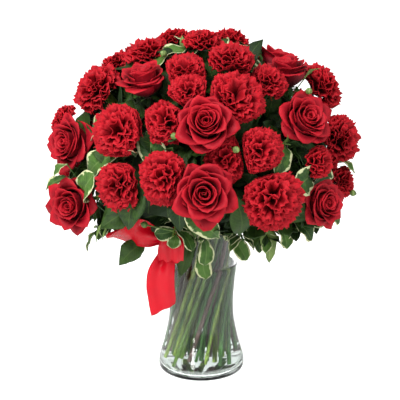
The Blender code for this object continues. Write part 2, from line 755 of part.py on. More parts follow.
TAIL = (
    ((-27, -63, 204), (1, 0, 0), 6), ((-36, -65, 192), (1, 0, 0.1), 8),
    ((-44, -66, 179), (1, 0, 0.1), 11), ((-50, -68, 160), (1, 0, 0), 16),
    ((-51.5, -68, 139), (1, 0, 0), 17.5), ((-50, -66, 121), (1, 0, 0.1), 17.2),
    ((-48.5, -64, 104), (0.88, 0, 0.48), 16.6))


def make_ribbon(coll, spare):
    pieces = [strip(FRONT_LOOP, "front_loop", spare), strip(LEFT_LOOP, "left_loop", spare),
              strip(TAIL, "tail", spare)]
    bm, _ = spun_bmesh([(0, -0.009), (0.0062, -0.006), (0.0088, 0), (0.0062, 0.006), (0, 0.009)],
                       8)
    for v in bm.verts:
        v.co += KNOT
    knot = object_from_bmesh(bm, "knot", spare)
    ribbon = join_all([knot] + pieces, "ribbon", coll, spare)
    paint(ribbon, (0.60, 0.008, 0.016), 0.35)
    return ribbon


def make_wire(coll, spare, profile):
    """Green florist's wire from the knot over the lip and down beside the stems."""
    thick = 0.0009
    bearing = math.atan2(KNOT.x, -KNOT.y)
    over = VASE_HEIGHT + thick + GAP
    outer = VASE_OUTLINE[-1][0]
    heights = ((KNOT.xy.length - 0.0087, KNOT.z - 0.001), (outer + 0.0010, over + 0.0012),
               (outer - 0.0022, over), (wall_radius(0.2) - 0.0022, over - 0.0030),
               (wall_radius(0.186) - 0.0015, 0.186))
    points = [ring_point(radius, bearing, height) for radius, height in heights]
    wire = tube(points, [thick] * len(points), spare, "bow_wire", profile)
    spare.objects.unlink(wire)
    coll.objects.link(wire)
    paint(wire, (0.06, 0.14, 0.05), 0.6)
    return wire


# Leaves
# Half width along the blade, from its foot to the last pair before the tip.
BLADE = {PITTO: ((0.26, 0.74), (0.62, 1.0), (0.90, 0.62)),
         BROAD: ((0.16, 0.70), (0.46, 1.0), (0.80, 0.72)),
         PLAIN: ((0.30, 0.92), (0.68, 1.0)),
         GRASS: ((0.50, 0.90),)}
WAVE = {PITTO: 0.0012, BROAD: 0.0008, PLAIN: 0.0014, GRASS: 0.0}
CUTS = {PITTO: 0.0, BROAD: 0.04, PLAIN: 0.03, GRASS: 0.0}
STALK = 0.0008              # half width of a leaf's stalk
LEAF_THICK = 0.0008


def leaf_spine(kind, root, foot, tip, outward, width, droop):
    """Stalk and blade as middles and half widths, curved so that the tip bends down."""
    spine = [root]
    half_widths = [STALK]
    if (foot - root).length > 0.006:
        spine.append(foot)
        half_widths.append(STALK)
    along = tip - foot
    lift = outward - along * (outward.dot(along) / along.length_squared)
    if lift.length > 0.001:
        lift.normalize()
    for t, share in BLADE[kind]:
        arch = math.sin(math.pi * t) * droop * along.length
        spine.append(foot + along * t + lift * arch)
        half_widths.append(width * share / 2)
    spine.append(tip)
    half_widths.append(0)
    return spine, half_widths


def leaf_object(kind, root, foot, tip, outward, width, spare, turn=0.0, droop=0.10):
    spine, half_widths = leaf_spine(kind, root, foot, tip, outward, width, droop)
    along = (tip - foot).normalized()
    across = along.cross(outward)
    if across.length < 0.05:
        across = along.cross(Vector((0.3, 0.5, 0.8)))
    across.normalize()
    across = Quaternion(along, turn) @ across
    return blade(spine, half_widths, across, LEAF_THICK, "leaf", spare, WAVE[kind], CUTS[kind])


def tree_of(ob):
    """Search tree of an object's faces, with its box."""
    verts = [ob.matrix_world @ v.co for v in ob.data.vertices]
    faces = [tuple(p.vertices) for p in ob.data.polygons]
    low = Vector([min(v[k] for v in verts) for k in range(3)])
    high = Vector([max(v[k] for v in verts) for k in range(3)])
    return BVHTree.FromPolygons(verts, faces), low, high


def clear_of(ob, trees, gap):
    """True if an object touches no piece of another node and stays a gap away from it."""
    mine, low, high = tree_of(ob)
    samples = []
    for poly in ob.data.polygons:
        corners = [ob.data.vertices[k].co for k in poly.vertices]
        middle = sum(corners, Vector()) / len(corners)
        samples.append(middle)
        for k, corner in enumerate(corners):
            samples.append(corner)
            samples.append((corner + corners[k - 1]) / 2)
            samples.append((corner + middle) / 2)
    for tree, other_low, other_high in trees:
        if any(low[k] - gap > other_high[k] or high[k] + gap < other_low[k] for k in range(3)):
            continue
        if mine.overlap(tree):
            return False
        for at in samples:
            place, normal, _, distance = tree.find_nearest(at, 0.020)
            if place is None:
                continue
            if distance < gap or (at - place).dot(normal) < 0:
                return False
    return True


def crosses(ob, root, leaves):
    """True if a blade cuts through a leaf of its own branch away from where it grows."""
    mine, low, high = tree_of(ob)
    for tree, other_low, other_high in leaves:
        if any(low[k] > other_high[k] or high[k] < other_low[k] for k in range(3)):
            continue
        for face, _ in mine.overlap(tree):
            if (ob.data.polygons[face].center - root).length > 0.009:
                return True
    return False


def grow_twigs(trees, grown, spare, profile):
    """Twigs from the core to their ends at the bouquet's lower edge, clear of all else."""
    twigs = []
    for bearing, lift, reach in TWIGS:
        made, points = clear_twig(bearing, lift, reach, trees, spare, profile)
        if not made:
            print("skipped twig", bearing)
            continue
        grown.append(made)
        twigs.append(points)
    return twigs


def clear_twig(bearing, lift, reach, trees, spare, profile):
    for aside in (0, 4, -4, 8, -8, 12, -12, 16, -16):
        for step in range(8):
            start = ring_point(0.056, math.radians(bearing + aside), 0.2225)
            end = dome_point(bearing + aside, lift + step % 2 * 4, reach)
            way = end - start
            high = way * 0.3 + Vector((0, 0, 0.003 + 0.003 * step))
            controls = (start, start + high, end - way * 0.40 + Vector((0, 0, 0.020)), end)
            points = [bezier(*controls, t) for t in TWIG_STATIONS]
            path = [start + (DOME_MIDDLE - start).normalized() * 0.012] + points
            radii = [TWIG_RADIUS] * (len(path) - 1) + [TWIG_RADIUS * 0.75]
            made = tube(path, radii, spare, "twig", profile)
            if clear_of(made, trees, 0.0005):
                return made, points
            bpy.data.objects.remove(made)
    return None, None


def path_spots(points, first=0.175):
    """Places along a stem that a leaf can grow from."""
    spots = []
    for a, b in zip(points, points[1:]):
        steps = max(1, int((b - a).length / 0.007))
        for k in range(steps):
            at = a.lerp(b, k / steps)
            if at.z > first:
                spots.append(at)
    return spots


def grow(kind, foot, tip, width, spots, trees, leaves, spare):
    """A leaf on the nearest stem that lets it grow clear of its neighbours, or None."""
    near = sorted(spots, key=lambda spot: (spot - foot).length)[:90:3]
    for shift, turn, size in SEEN_TRIES:
        outward = (foot - DOME_MIDDLE + Vector((0, 0, 0.05))).normalized()
        away = outward * shift
        end = foot + (tip - foot) * size + away
        for root in near:
            if (foot + away - root).length < 0.004:
                continue
            leaf = leaf_object(kind, root, foot + away, end, outward, width * size, spare,
                               turn)
            if not crosses(leaf, root, leaves) and clear_of(leaf, trees, 0.0005):
                return leaf
            bpy.data.objects.remove(leaf)
    return None


def keep_leaf(leaf, leaves, grown):
    grown.append(leaf)
    leaves.append(tree_of(leaf))


SEEN_TRIES = [(shift, turn, size) for size in (1.0, 0.9, 0.78) for shift in
              (0.0, 0.003, 0.007, 0.012, 0.018) for turn in (0.0, 0.35, -0.35, 0.8, -0.8)]
FILL_TRIES = [(reach, turn, size) for size in (1.0, 0.85, 0.70) for reach in (0.93, 0.86)
              for turn in (0.0, 1.1, 2.2, 3.3, 4.4, 5.4)]


def seen_leaves(spots, trees, leaves, grown, spare):
    for number, (kind, foot, tip, width) in enumerate(SEEN_LEAVES):
        leaf = grow(kind, v_mm(*foot), v_mm(*tip), width / 1000, spots, trees, leaves, spare)
        if leaf:
            keep_leaf(leaf, leaves, grown)
        else:
            print("skipped leaf", number, kind, foot)


def core_root(core, foot):
    """Where a leaf's stalk enters the core, and a little deeper."""
    inward = (Vector((0, 0, 0.250)) - foot).normalized()
    place = core.ray_cast(foot, inward)[0]
    return place + inward * 0.005 if place else None


def fill_leaves(places, core, trees, leaves, grown, spare):
    """Leaves from the core that lie behind the gaps between the blooms, on a spiral."""
    draw = random.Random(SEED)
    golden = math.pi * (3 - math.sqrt(5))
    count = 900
    done = []
    for k in draw.sample(range(count), count):
        up = -0.08 + 1.06 * (k + 0.5) / count
        lift = math.degrees(math.asin(min(0.99, up)))
        bearing = math.degrees(k * golden) % 360
        surface = dome_point(bearing, lift)
        room = min((surface - it["middle"]).length / it["half"] for it in places.values())
        if room < 1.05 or any((surface - other).length < FILL_SPACING for other in done):
            continue
        outward = (surface - DOME_MIDDLE).normalized()
        start = draw.random() * math.tau
        length = draw.uniform(0.046, 0.056)
        width = length * draw.uniform(0.52, 0.64)
        leaf = None
        for reach, turn, size in FILL_TRIES:
            middle = dome_point(bearing, lift, reach)
            heading = outward.orthogonal().normalized()
            heading = Quaternion(outward, start + turn) @ heading
            half = heading * length * size / 2
            root = core_root(core, middle - half)
            if root is None:
                continue
            tip = middle + half + outward * 0.004
            leaf = leaf_object(PLAIN, root, root, tip, outward, width * size, spare, 0.0, 0.20)
            if not crosses(leaf, root, leaves) and clear_of(leaf, trees, 0.0005):
                break
            bpy.data.objects.remove(leaf)
            leaf = None
        if not leaf:
            continue
        done.append(surface)
        keep_leaf(leaf, leaves, grown)
        if len(done) >= FILL_LEAVES:
            break
    print("fill leaves", len(done))


COLLAR_TURNS = ((2.6, 1), (3.3, -1), (3.98, 0))


def collar_leaves(twigs, trees, leaves, grown, spare):
    """Leaves in turn along every twig of the collar and one at its end."""
    draw = random.Random(SEED + 1)
    count = 0
    for points in twigs:
        for t, side in COLLAR_TURNS:
            k = min(int(t), 3)
            root = points[k].lerp(points[k + 1], t - k)
            along = (points[k + 1] - points[k]).normalized()
            level = along.cross(Vector((0, 0, 1))).normalized()
            way = along * 0.55 + level * side * 0.85
            if side == 0:
                way = along * 0.9 + Vector((0, 0, -0.55))
            way = (way + Vector((0, 0, draw.uniform(-0.35, 0.10)))).normalized()
            leaf = collar_leaf(root, way, draw.uniform(0.030, 0.038), trees, leaves, spare)
            if leaf:
                keep_leaf(leaf, leaves, grown)
                count += 1
    print("collar leaves", count)


def collar_leaf(root, way, length, trees, leaves, spare):
    """A leaf from its root, tilted or made smaller until it is clear; None if it never is."""
    for size in (1.0, 0.8, 0.65):
        for tilt in (0.0, -0.4, 0.4, -0.8):
            lean = (way + Vector((0, 0, tilt))).normalized()
            leaf = leaf_object(PLAIN, root, root, root + lean * length * size,
                               Vector((0, 0, 1)), 0.55 * length * size, spare, 0.0, 0.12)
            if not crosses(leaf, root, leaves) and clear_of(leaf, trees, 0.0005):
                return leaf
            bpy.data.objects.remove(leaf)
    return None


def make_buds(spots, trees, grown, spare, profile):
    """Small round buds on short side shoots."""
    made = 0
    for place in BUDS:
        middle = v_mm(*place)
        near = sorted(spots, key=lambda spot: (spot - middle).length)[:60:2]
        for root in near:
            shoot = tube([root, middle], [0.0008, 0.0010], spare, "shoot", profile)
            bm, _ = spun_bmesh([(0, -0.0042), (0.0036, -0.001), (0, 0.0046)], 6)
            turn = facing_matrix(middle, (middle - root).normalized(), 0)
            for v in bm.verts:
                v.co = turn @ v.co
            bud = object_from_bmesh(bm, "bud", spare)
            if all(clear_of(ob, trees, 0.0005) for ob in (shoot, bud)):
                grown += [shoot, bud]
                made += 1
                break
            bpy.data.objects.remove(shoot)
            bpy.data.objects.remove(bud)
    print("buds", made)


def make_bunch(places, routes, trees, coll, spare, profile):
    """Stems, sepals, core, twigs, leaves and buds: everything green, grown into one body."""
    grown = [make_core(spare)]
    core = tree_of(grown[0])[0]
    spots = []
    for name, me in places.items():
        stem = stem_tube(name, me, routes[name], spare, profile)
        grown.append(stem)
        if me["kind"] == ROSE:
            grown.append(clear_sepals(name, me, trees, spare))
        points, cup_foot, _ = arc_points(me, routes[name])
        spots += path_spots(points + [cup_foot])
    twigs = grow_twigs(trees, grown, spare, profile)
    for points in twigs:
        spots += path_spots(points)
    leaves = []
    seen_leaves(spots, trees, leaves, grown, spare)
    collar_leaves(twigs, trees, leaves, grown, spare)
    fill_leaves(places, core, trees, leaves, grown, spare)
    make_buds(spots, trees, grown, spare, profile)
    bunch = join_all(grown, "stems_and_leaves", coll, spare, "MANIFOLD")
    paint(bunch, (0.09, 0.20, 0.05), 0.55)
    return bunch


def main():
    empty_scene()
    coll = make_collection("roses_and_carnations_in_a_vase")
    spare = make_collection("spare")
    profile = ring_profile(4, spare)
    places = bloom_places()
    routes = stem_routes(places)
    others = [make_vase(coll), make_ribbon(coll, spare), make_wire(coll, spare, profile)]
    others += make_blooms(places, coll)
    trees = [tree_of(ob) for ob in others]
    make_bunch(places, routes, trees, coll, spare, profile)
    make_water(routes.values(), coll, spare, profile)
    bpy.data.objects.remove(profile)
    print("total", sum(sum(len(p.vertices) - 2 for p in ob.data.polygons) for ob in coll.objects))
    for ob in coll.objects:
        print(ob.name, sum(len(p.vertices) - 2 for p in ob.data.polygons))


main()
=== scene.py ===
# %% [markdown]
# # Roses and carnations in a glass vase
#
# A florist's arrangement: a round bouquet of red roses, red carnations and small spray carnations,
# closed with variegated and dark leaves, standing in a clear waisted vase with water and a red
# satin bow. Real flowers are many thin petals laid in spirals, so this lesson spends its effort
# on petals: one petal form at a time in Python, and Geometry Nodes that lay the forms in whorls.

# %% The frame
import json
import math
import random
from itertools import product

import bmesh
import bpy
import numpy as np
from mathutils import Matrix, Quaternion, Vector, kdtree

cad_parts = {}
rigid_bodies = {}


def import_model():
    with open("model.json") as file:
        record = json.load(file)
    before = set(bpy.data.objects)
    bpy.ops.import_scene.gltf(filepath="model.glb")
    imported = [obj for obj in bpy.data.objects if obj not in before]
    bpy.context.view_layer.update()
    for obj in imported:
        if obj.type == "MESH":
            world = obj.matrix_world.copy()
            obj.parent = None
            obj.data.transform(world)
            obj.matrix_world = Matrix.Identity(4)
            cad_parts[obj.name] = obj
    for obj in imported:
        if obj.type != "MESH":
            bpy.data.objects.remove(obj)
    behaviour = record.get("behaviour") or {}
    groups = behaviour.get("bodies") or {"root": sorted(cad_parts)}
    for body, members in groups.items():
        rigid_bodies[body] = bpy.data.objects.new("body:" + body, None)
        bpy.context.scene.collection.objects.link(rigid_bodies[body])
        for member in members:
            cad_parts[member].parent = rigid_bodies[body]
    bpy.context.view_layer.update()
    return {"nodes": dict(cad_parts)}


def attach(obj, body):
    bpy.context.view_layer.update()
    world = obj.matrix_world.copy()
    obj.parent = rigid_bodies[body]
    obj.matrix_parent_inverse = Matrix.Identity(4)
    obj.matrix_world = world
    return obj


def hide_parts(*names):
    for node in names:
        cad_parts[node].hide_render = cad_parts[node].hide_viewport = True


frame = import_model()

UP = Vector((0, 0, 1))


def stand(name, data):
    """A new object, in the scene."""
    ob = bpy.data.objects.new(name, data)
    bpy.context.scene.collection.objects.link(ob)
    return ob


# %% [markdown]
# ## The camera
#
# The photograph was taken from a little above, with a long lens, so the vase's sides hardly lean.
# A camera 1.6 m away with a 111 mm lens gives the same small perspective and frames the bouquet.

# %% The camera
AIM = Vector((-0.0018, 0.0, 0.231))
RAISED = math.radians(16)
AWAY = 1.6                  # metres from the bouquet
LENS, SENSOR = 110.9, 36    # millimetres
back = Vector((0, -math.cos(RAISED), math.sin(RAISED)))
camera = stand("camera", bpy.data.cameras.new("camera"))
camera.data.lens = LENS
camera.data.sensor_width = SENSOR
camera.location = AIM + back * AWAY
camera.rotation_euler = back.to_track_quat("Z", "Y").to_euler()
bpy.context.scene.camera = camera
print("camera at", tuple(round(c, 3) for c in camera.location))

# %% [markdown]
# ## Node graphs as sums
#
# Materials and Geometry Nodes are both graphs of sockets. Two small classes let the rest of the
# lesson write them as plain sums: one wraps a socket, so that `1 - mask * 0.5` adds the Math
# nodes, and one adds any other node from its type, its settings and its sockets.


# %% A socket that can be used in sums
def both_ways(operation):
    """The methods for a socket and a value, and for a value and a socket."""
    return (lambda self, other: self.graph.math(operation, self, other),
            lambda self, other: self.graph.math(operation, other, self))


class Sock:
    __add__, __radd__ = both_ways("ADD")
    __sub__, __rsub__ = both_ways("SUBTRACT")
    __mul__, __rmul__ = both_ways("MULTIPLY")
    __truediv__, __rtruediv__ = both_ways("DIVIDE")
    __pow__, __rpow__ = both_ways("POWER")

    def __init__(self, graph, socket):
        self.graph, self.socket = graph, socket

    def __abs__(self):
        return self.graph.math("ABSOLUTE", self)

    def twin(self, output):
        """Another output of the same node."""
        return Sock(self.graph, self.socket.node.outputs[output])


# %% A graph that adds nodes
class Graph:
    def __init__(self, tree):
        self.tree = tree

    def link(self, value, socket):
        """Link a wrapped socket to an input, or give the input a plain value."""
        if isinstance(value, Sock):
            self.tree.links.new(value.socket, socket)
        else:
            socket.default_value = value

    def add(self, kind, settings=None, sockets=None, out=0):
        """A new node: its settings first, then the values or links of its sockets."""
        node = self.tree.nodes.new(kind)
        for key, value in (settings or {}).items():
            setattr(node, key, value)
        for key, value in (sockets or {}).items():
            self.link(value, node.inputs[key])
        return Sock(self, node.outputs[out]) if len(node.outputs) else None

    def math(self, operation, a, b=0.0):
        return self.add("ShaderNodeMath", dict(operation=operation), {0: a, 1: b})

    def blend(self, factor, a, b):
        """A colour between a and b."""
        return self.add("ShaderNodeMix", dict(data_type="RGBA"), {0: factor, 6: a, 7: b}, 2)

    def step(self, value, low, high):
        """0 below low, 1 above high, smooth between."""
        return self.add("ShaderNodeMapRange", dict(interpolation_type="SMOOTHSTEP"),
                        {"Value": value, "From Min": low, "From Max": high})


def shade(r, g, b):
    """A colour given in linear light."""
    return (r, g, b, 1.0)


# %% [markdown]
# ## Finishes
#
# A material starts from the Principled shader. What is the same all over goes straight on its
# sockets; what changes, such as a petal's darker foot or a leaf's veins, feeds Base Color,
# Roughness and a Bump.


# %% A finish and its graph
def finish(name, **constants):
    """A new material, its graph and its Principled node."""
    material = bpy.data.materials.new(name)
    material.use_nodes = True
    graph = Graph(material.node_tree)
    shader = material.node_tree.nodes["Principled BSDF"]
    for key, value in constants.items():
        shader.inputs[key.replace("_", " ")].default_value = value
    return material, graph, shader


def feed(graph, shader, colour, roughness=None, height=None, strength=0.0, depth=0.0004):
    """Link the varying parts of a finish to its shader; the bump's depth is in metres."""
    graph.link(colour, shader.inputs["Base Color"])
    if roughness:
        graph.link(roughness, shader.inputs["Roughness"])
    if height:
        graph.link(graph.add("ShaderNodeBump", {}, {
            "Strength": strength, "Distance": depth, "Height": height}), shader.inputs["Normal"])


def coordinates(graph):
    return graph.add("ShaderNodeTexCoord", out="Object")


def split_uv(graph):
    """Across and along a petal, leaf or ribbon, both from 0 to 1."""
    uv = graph.add("ShaderNodeUVMap", dict(uv_map="cut"))
    across = graph.add("ShaderNodeSeparateXYZ", {}, {0: uv})
    return across, across.twin(1)


def tone_of(graph):
    """The number from 0 to 1 that each petal, leaf or stem carries."""
    return graph.add("ShaderNodeAttribute", dict(attribute_name="tone"), out="Fac")


def noise(graph, vector, scale, detail=3.0):
    return graph.add("ShaderNodeTexNoise", {}, {
        "Vector": vector, "Scale": scale, "Detail": detail, "Roughness": 0.6})


# %% [markdown]
# ## Petal finish
#
# A red rose petal is velvety: tiny cells give it a soft sheen. Its foot is painted darker as
# painted shade and its rim lighter as a painted highlight. Carnation petals are thinner, brighter
# and silkier. Both read the petal's own UV map for this painted foot-to-rim shading and for the
# fine veins that fan along it.


# %% Petal finishes
def petal_finish(name, deep, body, rim, rough, vein):
    material, graph, shader = finish(
        name, Specular_IOR_Level=0.15, Sheen_Weight=0.04, Sheen_Roughness=0.5,
        Sheen_Tint=shade(1.0, 0.25, 0.25))
    across, along = split_uv(graph)
    tone = tone_of(graph)
    place = coordinates(graph)
    patches = noise(graph, place, 90)
    fine = noise(graph, place, 900, 2.0)
    veins = graph.math("SINE", across * 55 + patches * 4) * 0.5 + 0.5
    # painted shade: the foot of each petal takes the deep colour, rising to the body colour
    up = graph.step(along + (tone - 0.5) * 0.2, 0.25, 0.98)
    colour = graph.blend(up, deep, body)
    # painted highlight: the rim of each petal takes the lighter rim colour
    colour = graph.blend(graph.step(along + patches * 0.12, 0.90, 1.06), colour, rim)
    colour = graph.blend((1 - tone) * 0.35, colour, deep)
    colour = graph.blend(veins * vein, colour, deep)
    feed(graph, shader, colour, rough + patches * 0.15, fine * 0.5 + veins * 0.5, strength=0.35)
    return material


# each finish: the foot's painted shade, the body colour, the rim's painted highlight, roughness,
# veins
ROSE_FINISH = petal_finish("rose_petals", shade(0.040, 0.0004, 0.004), shade(0.27, 0.0018, 0.009),
                           shade(0.42, 0.006, 0.015), 0.50, 0.10)
CARNATION_FINISH = petal_finish("carnation_petals", shade(0.10, 0.001, 0.003),
                                shade(0.32, 0.0022, 0.009), shade(0.44, 0.006, 0.014), 0.55, 0.12)
SPRAY_FINISH = petal_finish("spray_carnation_petals", shade(0.12, 0.001, 0.003),
                            shade(0.35, 0.003, 0.010), shade(0.48, 0.007, 0.015), 0.55, 0.12)
print("petal finishes:", ROSE_FINISH.name, CARNATION_FINISH.name, SPRAY_FINISH.name)

# %% [markdown]
# ## Where every head stands
#
# The florist makes a dome: every head's middle lies on one rounded surface, and its face looks
# outwards. The table gives each head's bearing from the front and its lift above the level, as
# the solid model has them, so a petalled head replaces its plain solid exactly.

# %% The heads
ROSE, CARNATION, MINI = "rose", "carnation", "mini_carnation"
DOME = Vector((0.172, 0.172, 0.185))        # half widths of the dome
DOME_MIDDLE = Vector((0, 0, 0.262))
GAP = 0.0003                # left between neighbouring forms
HEADS = {                   # bearing, lift, reach, width in mm, bearing and lift that it faces
    ROSE: (
        (-38, 50, 1.00, 66, -45, 74), (2, 33, 1.02, 76, 0, 30), (1, 8, 1.04, 78, 0, 14),
        (56, 30, 1.00, 74, 32, 34), (74, 50, 1.00, 64, -60, 82), (-81, 16, 1.00, 74, -44, 14),
        (-69, -6, 1.00, 70, -26, 6), (59, -3, 1.00, 64, 42, 12), (134, 2, 1.00, 72, 125, 10),
        (-148, 4, 1.00, 72, -140, 12), (172, 32, 1.00, 76, 170, 30),
        (122, 48, 0.98, 68, 125, 50)),
    CARNATION: (
        (26, 62, 1.00, 62, 24, 76), (-78, 66, 0.96, 60, -60, 80), (-82, 40, 1.00, 67, -60, 40),
        (-40, 28, 1.00, 71, -34, 26), (-19, 36, 0.92, 60, -15, 40),
        (-14, 60, 0.95, 57, -12, 66), (-8, 48, 0.97, 53, -6, 48), (19, 45, 0.97, 74, 12, 38),
        (48, 50, 0.97, 53, 44, 56), (95, 35, 1.09, 67, 74, 36), (88, 15, 1.06, 69, 56, 12),
        (26, 22, 0.97, 60, 20, 20), (29, 4, 1.00, 76, 20, 8), (12, 21, 0.89, 57, 10, 26),
        (-16, 13, 0.96, 64, -20, 10), (-36, 8, 0.98, 62, -40, 4), (112, -2, 1.02, 64, 108, 6),
        (161, 1, 1.00, 69, 158, 8), (-122, -3, 1.00, 67, -118, 4), (146, 26, 1.00, 69, 145, 28),
        (-158, 30, 1.00, 69, -158, 32), (-128, 46, 1.00, 69, -125, 48),
        (-104, -4, 1.00, 64, -100, 4), (-176, 55, 1.00, 64, -176, 58),
        (-138, 20, 1.00, 58, -138, 24), (-172, 13, 1.00, 58, -170, 18),
        (152, 46, 1.00, 58, 152, 48)),
    MINI: (
        (3, 79, 1.00, 52, 8, 88), (-102, 50, 1.02, 43, -90, 66), (59, 13, 1.00, 47, 50, 12),
        (86, -1, 1.06, 49, 70, 4), (-95, 20, 1.11, 49, -80, 26), (-176, -2, 1.00, 49, -176, 6),
        (120, 24, 1.02, 52, 118, 26), (-118, 20, 1.00, 49, -116, 22),
        (-150, 66, 1.00, 52, -150, 70), (150, 64, 1.00, 54, 150, 70))}


# %% Bearings and places on the dome
def direction(bearing, lift):
    b, e = math.radians(bearing), math.radians(lift)
    return Vector((math.cos(e) * math.sin(b), -math.cos(e) * math.cos(b), math.sin(e)))


def dome_point(bearing, lift, reach=1.0):
    return DOME_MIDDLE + direction(bearing, lift) * DOME * reach


def facing_matrix(place, face, roll):
    """Local Z looks along face, rolled about it, moved to place."""
    turn = face.to_track_quat("Z", "Y").to_matrix().to_4x4()
    return Matrix.Translation(place) @ turn @ Matrix.Rotation(roll, 4, "Z")


heads = {}
for kind, rows in HEADS.items():
    for number, (bearing, lift, reach, width, *faced) in enumerate(rows, 1):
        heads["%s_%02d" % (kind, number)] = dict(
            kind=kind, middle=dome_point(bearing, lift, reach), bearing=bearing, lift=lift,
            face=direction(*faced), half=width / 2000)
print(len(heads), "heads")

# %% [markdown]
# ## Thin closed forms
#
# Petals, leaves and ribbon are all thin sheets with two sides. Each starts as a grid of points,
# which gets a front, a back and an edge all round, and keeps its place across and along the
# grid as a UV map named "cut".


# %% A sheet with two sides
def sheet_arrays(grid, thick):
    """Points, faces and UV of a closed thin form over a grid of (along, across) points."""
    rows, columns = grid.shape[:2]
    across = np.gradient(grid, axis=1)
    along = np.gradient(grid, axis=0)
    normal = np.cross(across, along)
    normal /= np.maximum(np.linalg.norm(normal, axis=2, keepdims=True), 1e-9)
    points = np.concatenate([(grid + normal * thick / 2).reshape(-1, 3),
                             (grid - normal * thick / 2).reshape(-1, 3)])
    number = np.arange(rows * columns).reshape(rows, columns)
    quads = np.stack([number[:-1, :-1], number[:-1, 1:], number[1:, 1:], number[1:, :-1]],
                     axis=-1).reshape(-1, 4)
    rim = np.concatenate([number[0], number[1:, -1], number[-1, -2::-1], number[-2:0:-1, 0]])
    after = np.roll(rim, -1)
    deep = rows * columns
    edge = np.stack([rim, rim + deep, after + deep, after], axis=-1)
    faces = np.concatenate([quads, quads[:, ::-1] + deep, edge])
    u, v = np.meshgrid(np.linspace(0, 1, columns), np.linspace(0, 1, rows))
    uv = np.tile(np.stack([u, v], axis=-1).reshape(-1, 2), (2, 1))
    return points, faces, uv


def mesh_from_arrays(name, points, faces, uv, tone=None):
    mesh = bpy.data.meshes.new(name)
    mesh.from_pydata(points.tolist(), [], faces.tolist())
    layer = mesh.uv_layers.new(name="cut")
    layer.data.foreach_set("uv", uv[faces.reshape(-1)].astype(np.float32).ravel())
    if tone is not None:
        mesh.attributes.new("tone", "FLOAT", "POINT").data.foreach_set(
            "value", np.asarray(tone, dtype=np.float32))
    mesh.shade_smooth()
    return mesh


def object_from_mesh(mesh, material=None):
    ob = stand(mesh.name, mesh)
    if material:
        mesh.materials.clear()
        mesh.materials.append(material)
    return ob


def triangles(ob):
    return sum(len(p.vertices) - 2 for p in ob.data.polygons)


# %% [markdown]
# ## Rose petals
#
# A rose opens from a tight spiral. The inner petals wrap more than half way round a narrow cup;
# further out the cups get wider and lower, the rims roll outwards and the side edges turn back,
# which gives the outer petals their pointed tips. One formula with these few measures makes
# fourteen forms, from the heart to the outside, in units of half the bloom's width.

# %% Rose petal forms
ROSE_FORMS = 14
AGES = (0.0, 0.15, 0.35, 0.55, 0.75, 1.0)       # 0 is the heart of the bloom, 1 its outside
CUP = (0.05, 0.14, 0.27, 0.42, 0.56, 0.70)
HEIGHT = (1.04, 1.10, 1.19, 1.19, 1.05, 0.84)
WRAP = (165, 125, 98, 80, 68, 60)               # degrees to either side
FLARE = (0.00, 0.02, 0.07, 0.15, 0.26, 0.36)
DROP = (0.00, 0.00, 0.02, 0.06, 0.13, 0.20)
POINT = (0.00, 0.00, 0.02, 0.05, 0.08, 0.10)


def rose_petal(age, draw, columns=11, rows=9):
    cup, height, wrap, flare, drop, point = (float(np.interp(age, AGES, row)) for row in
                                             (CUP, HEIGHT, WRAP, FLARE, DROP, POINT))
    u, s = np.meshgrid(np.linspace(-1, 1, columns), np.linspace(0, 1, rows) ** 0.85)
    v = s * (1 - 0.20 * np.abs(u) ** 2.4) * (1 + point * np.exp(-(u / 0.22) ** 2))
    v = v * (1 + 0.012 * np.sin(7 * u + draw.random() * 6))
    rise = np.sin(np.pi / 2 * np.minimum(1, v / 0.62))
    rim = np.clip((v - 0.70) / 0.30, 0, 1.2)
    radius = 0.04 + (cup - 0.04) * rise + flare * rim ** 2 * (1 - 0.62 * np.abs(u) ** 1.2)
    radius += (0.06 + 0.14 * flare) * cup ** 0.5 * u * v
    radius += 0.040 * age * np.sin(4 * u + draw.random() * 6) * v ** 2
    up = height * v ** 1.15 - drop * rim ** 2 * (1 + 0.9 * np.abs(u))
    angle = u * math.radians(wrap) * (0.42 + 0.58 * np.sin(np.pi / 2 * np.minimum(1, s / 0.5)))
    return np.stack([radius * np.cos(angle), radius * np.sin(angle), up], axis=-1)


def form_collection(name, grids, thick):
    """The petal forms as objects of their own, for the nodes to pick from."""
    coll = bpy.data.collections.new(name)
    for number, grid in enumerate(grids):
        mesh = mesh_from_arrays("%s_%02d" % (name, number), *sheet_arrays(grid, thick))
        coll.objects.link(bpy.data.objects.new(mesh.name, mesh))
    return coll


draw = random.Random(5)
rose_forms = form_collection("rose_form", [rose_petal((k + 0.5) / ROSE_FORMS, draw)
                                           for k in range(ROSE_FORMS)], thick=0.013)

# %% [markdown]
# ## Carnation petals
#
# A carnation petal is a narrow claw that opens into a fan with a finely toothed, ruffled edge.
# The ruffles are two waves across the fan that grow towards the rim, and the teeth pull every
# other point of the rim back. Eight forms for the large heads and six for the small ones are
# enough, because no two heads turn or tilt them alike.


# %% Carnation petal forms
def frilled_petal(draw, columns=15, rows=6, ruffle=0.085, half=0.42):
    u, s = np.meshgrid(np.linspace(-1, 1, columns), np.linspace(0, 1, rows) ** 0.75)
    v = s * (1 - 0.15 * u ** 2 + 0.03 * np.sin(6 * u + draw.random() * 6))
    v[-1, 1::2] -= 0.055
    v[-1] += np.array([draw.uniform(-0.02, 0.02) for _ in range(columns)])
    open_up = np.clip((v - 0.25) / 0.75, 0, 1)
    open_up = open_up * open_up * (3 - 2 * open_up)
    bend = 0.75
    out = bend * v ** 3 / 3
    up = v - bend ** 2 * v ** 5 / 10
    lean = bend * v ** 2
    waves = (np.sin(draw.uniform(5, 8) * u + draw.random() * 6)
             + 0.5 * np.sin(draw.uniform(10, 14) * u + draw.random() * 6 + 3 * v))
    off = ruffle * waves * open_up ** 1.5 + 0.05 * (u ** 2 - 0.4) * open_up
    side = u * (0.045 + half * open_up)
    return np.stack([out + off * np.cos(lean), side, up - off * np.sin(lean)], axis=-1)


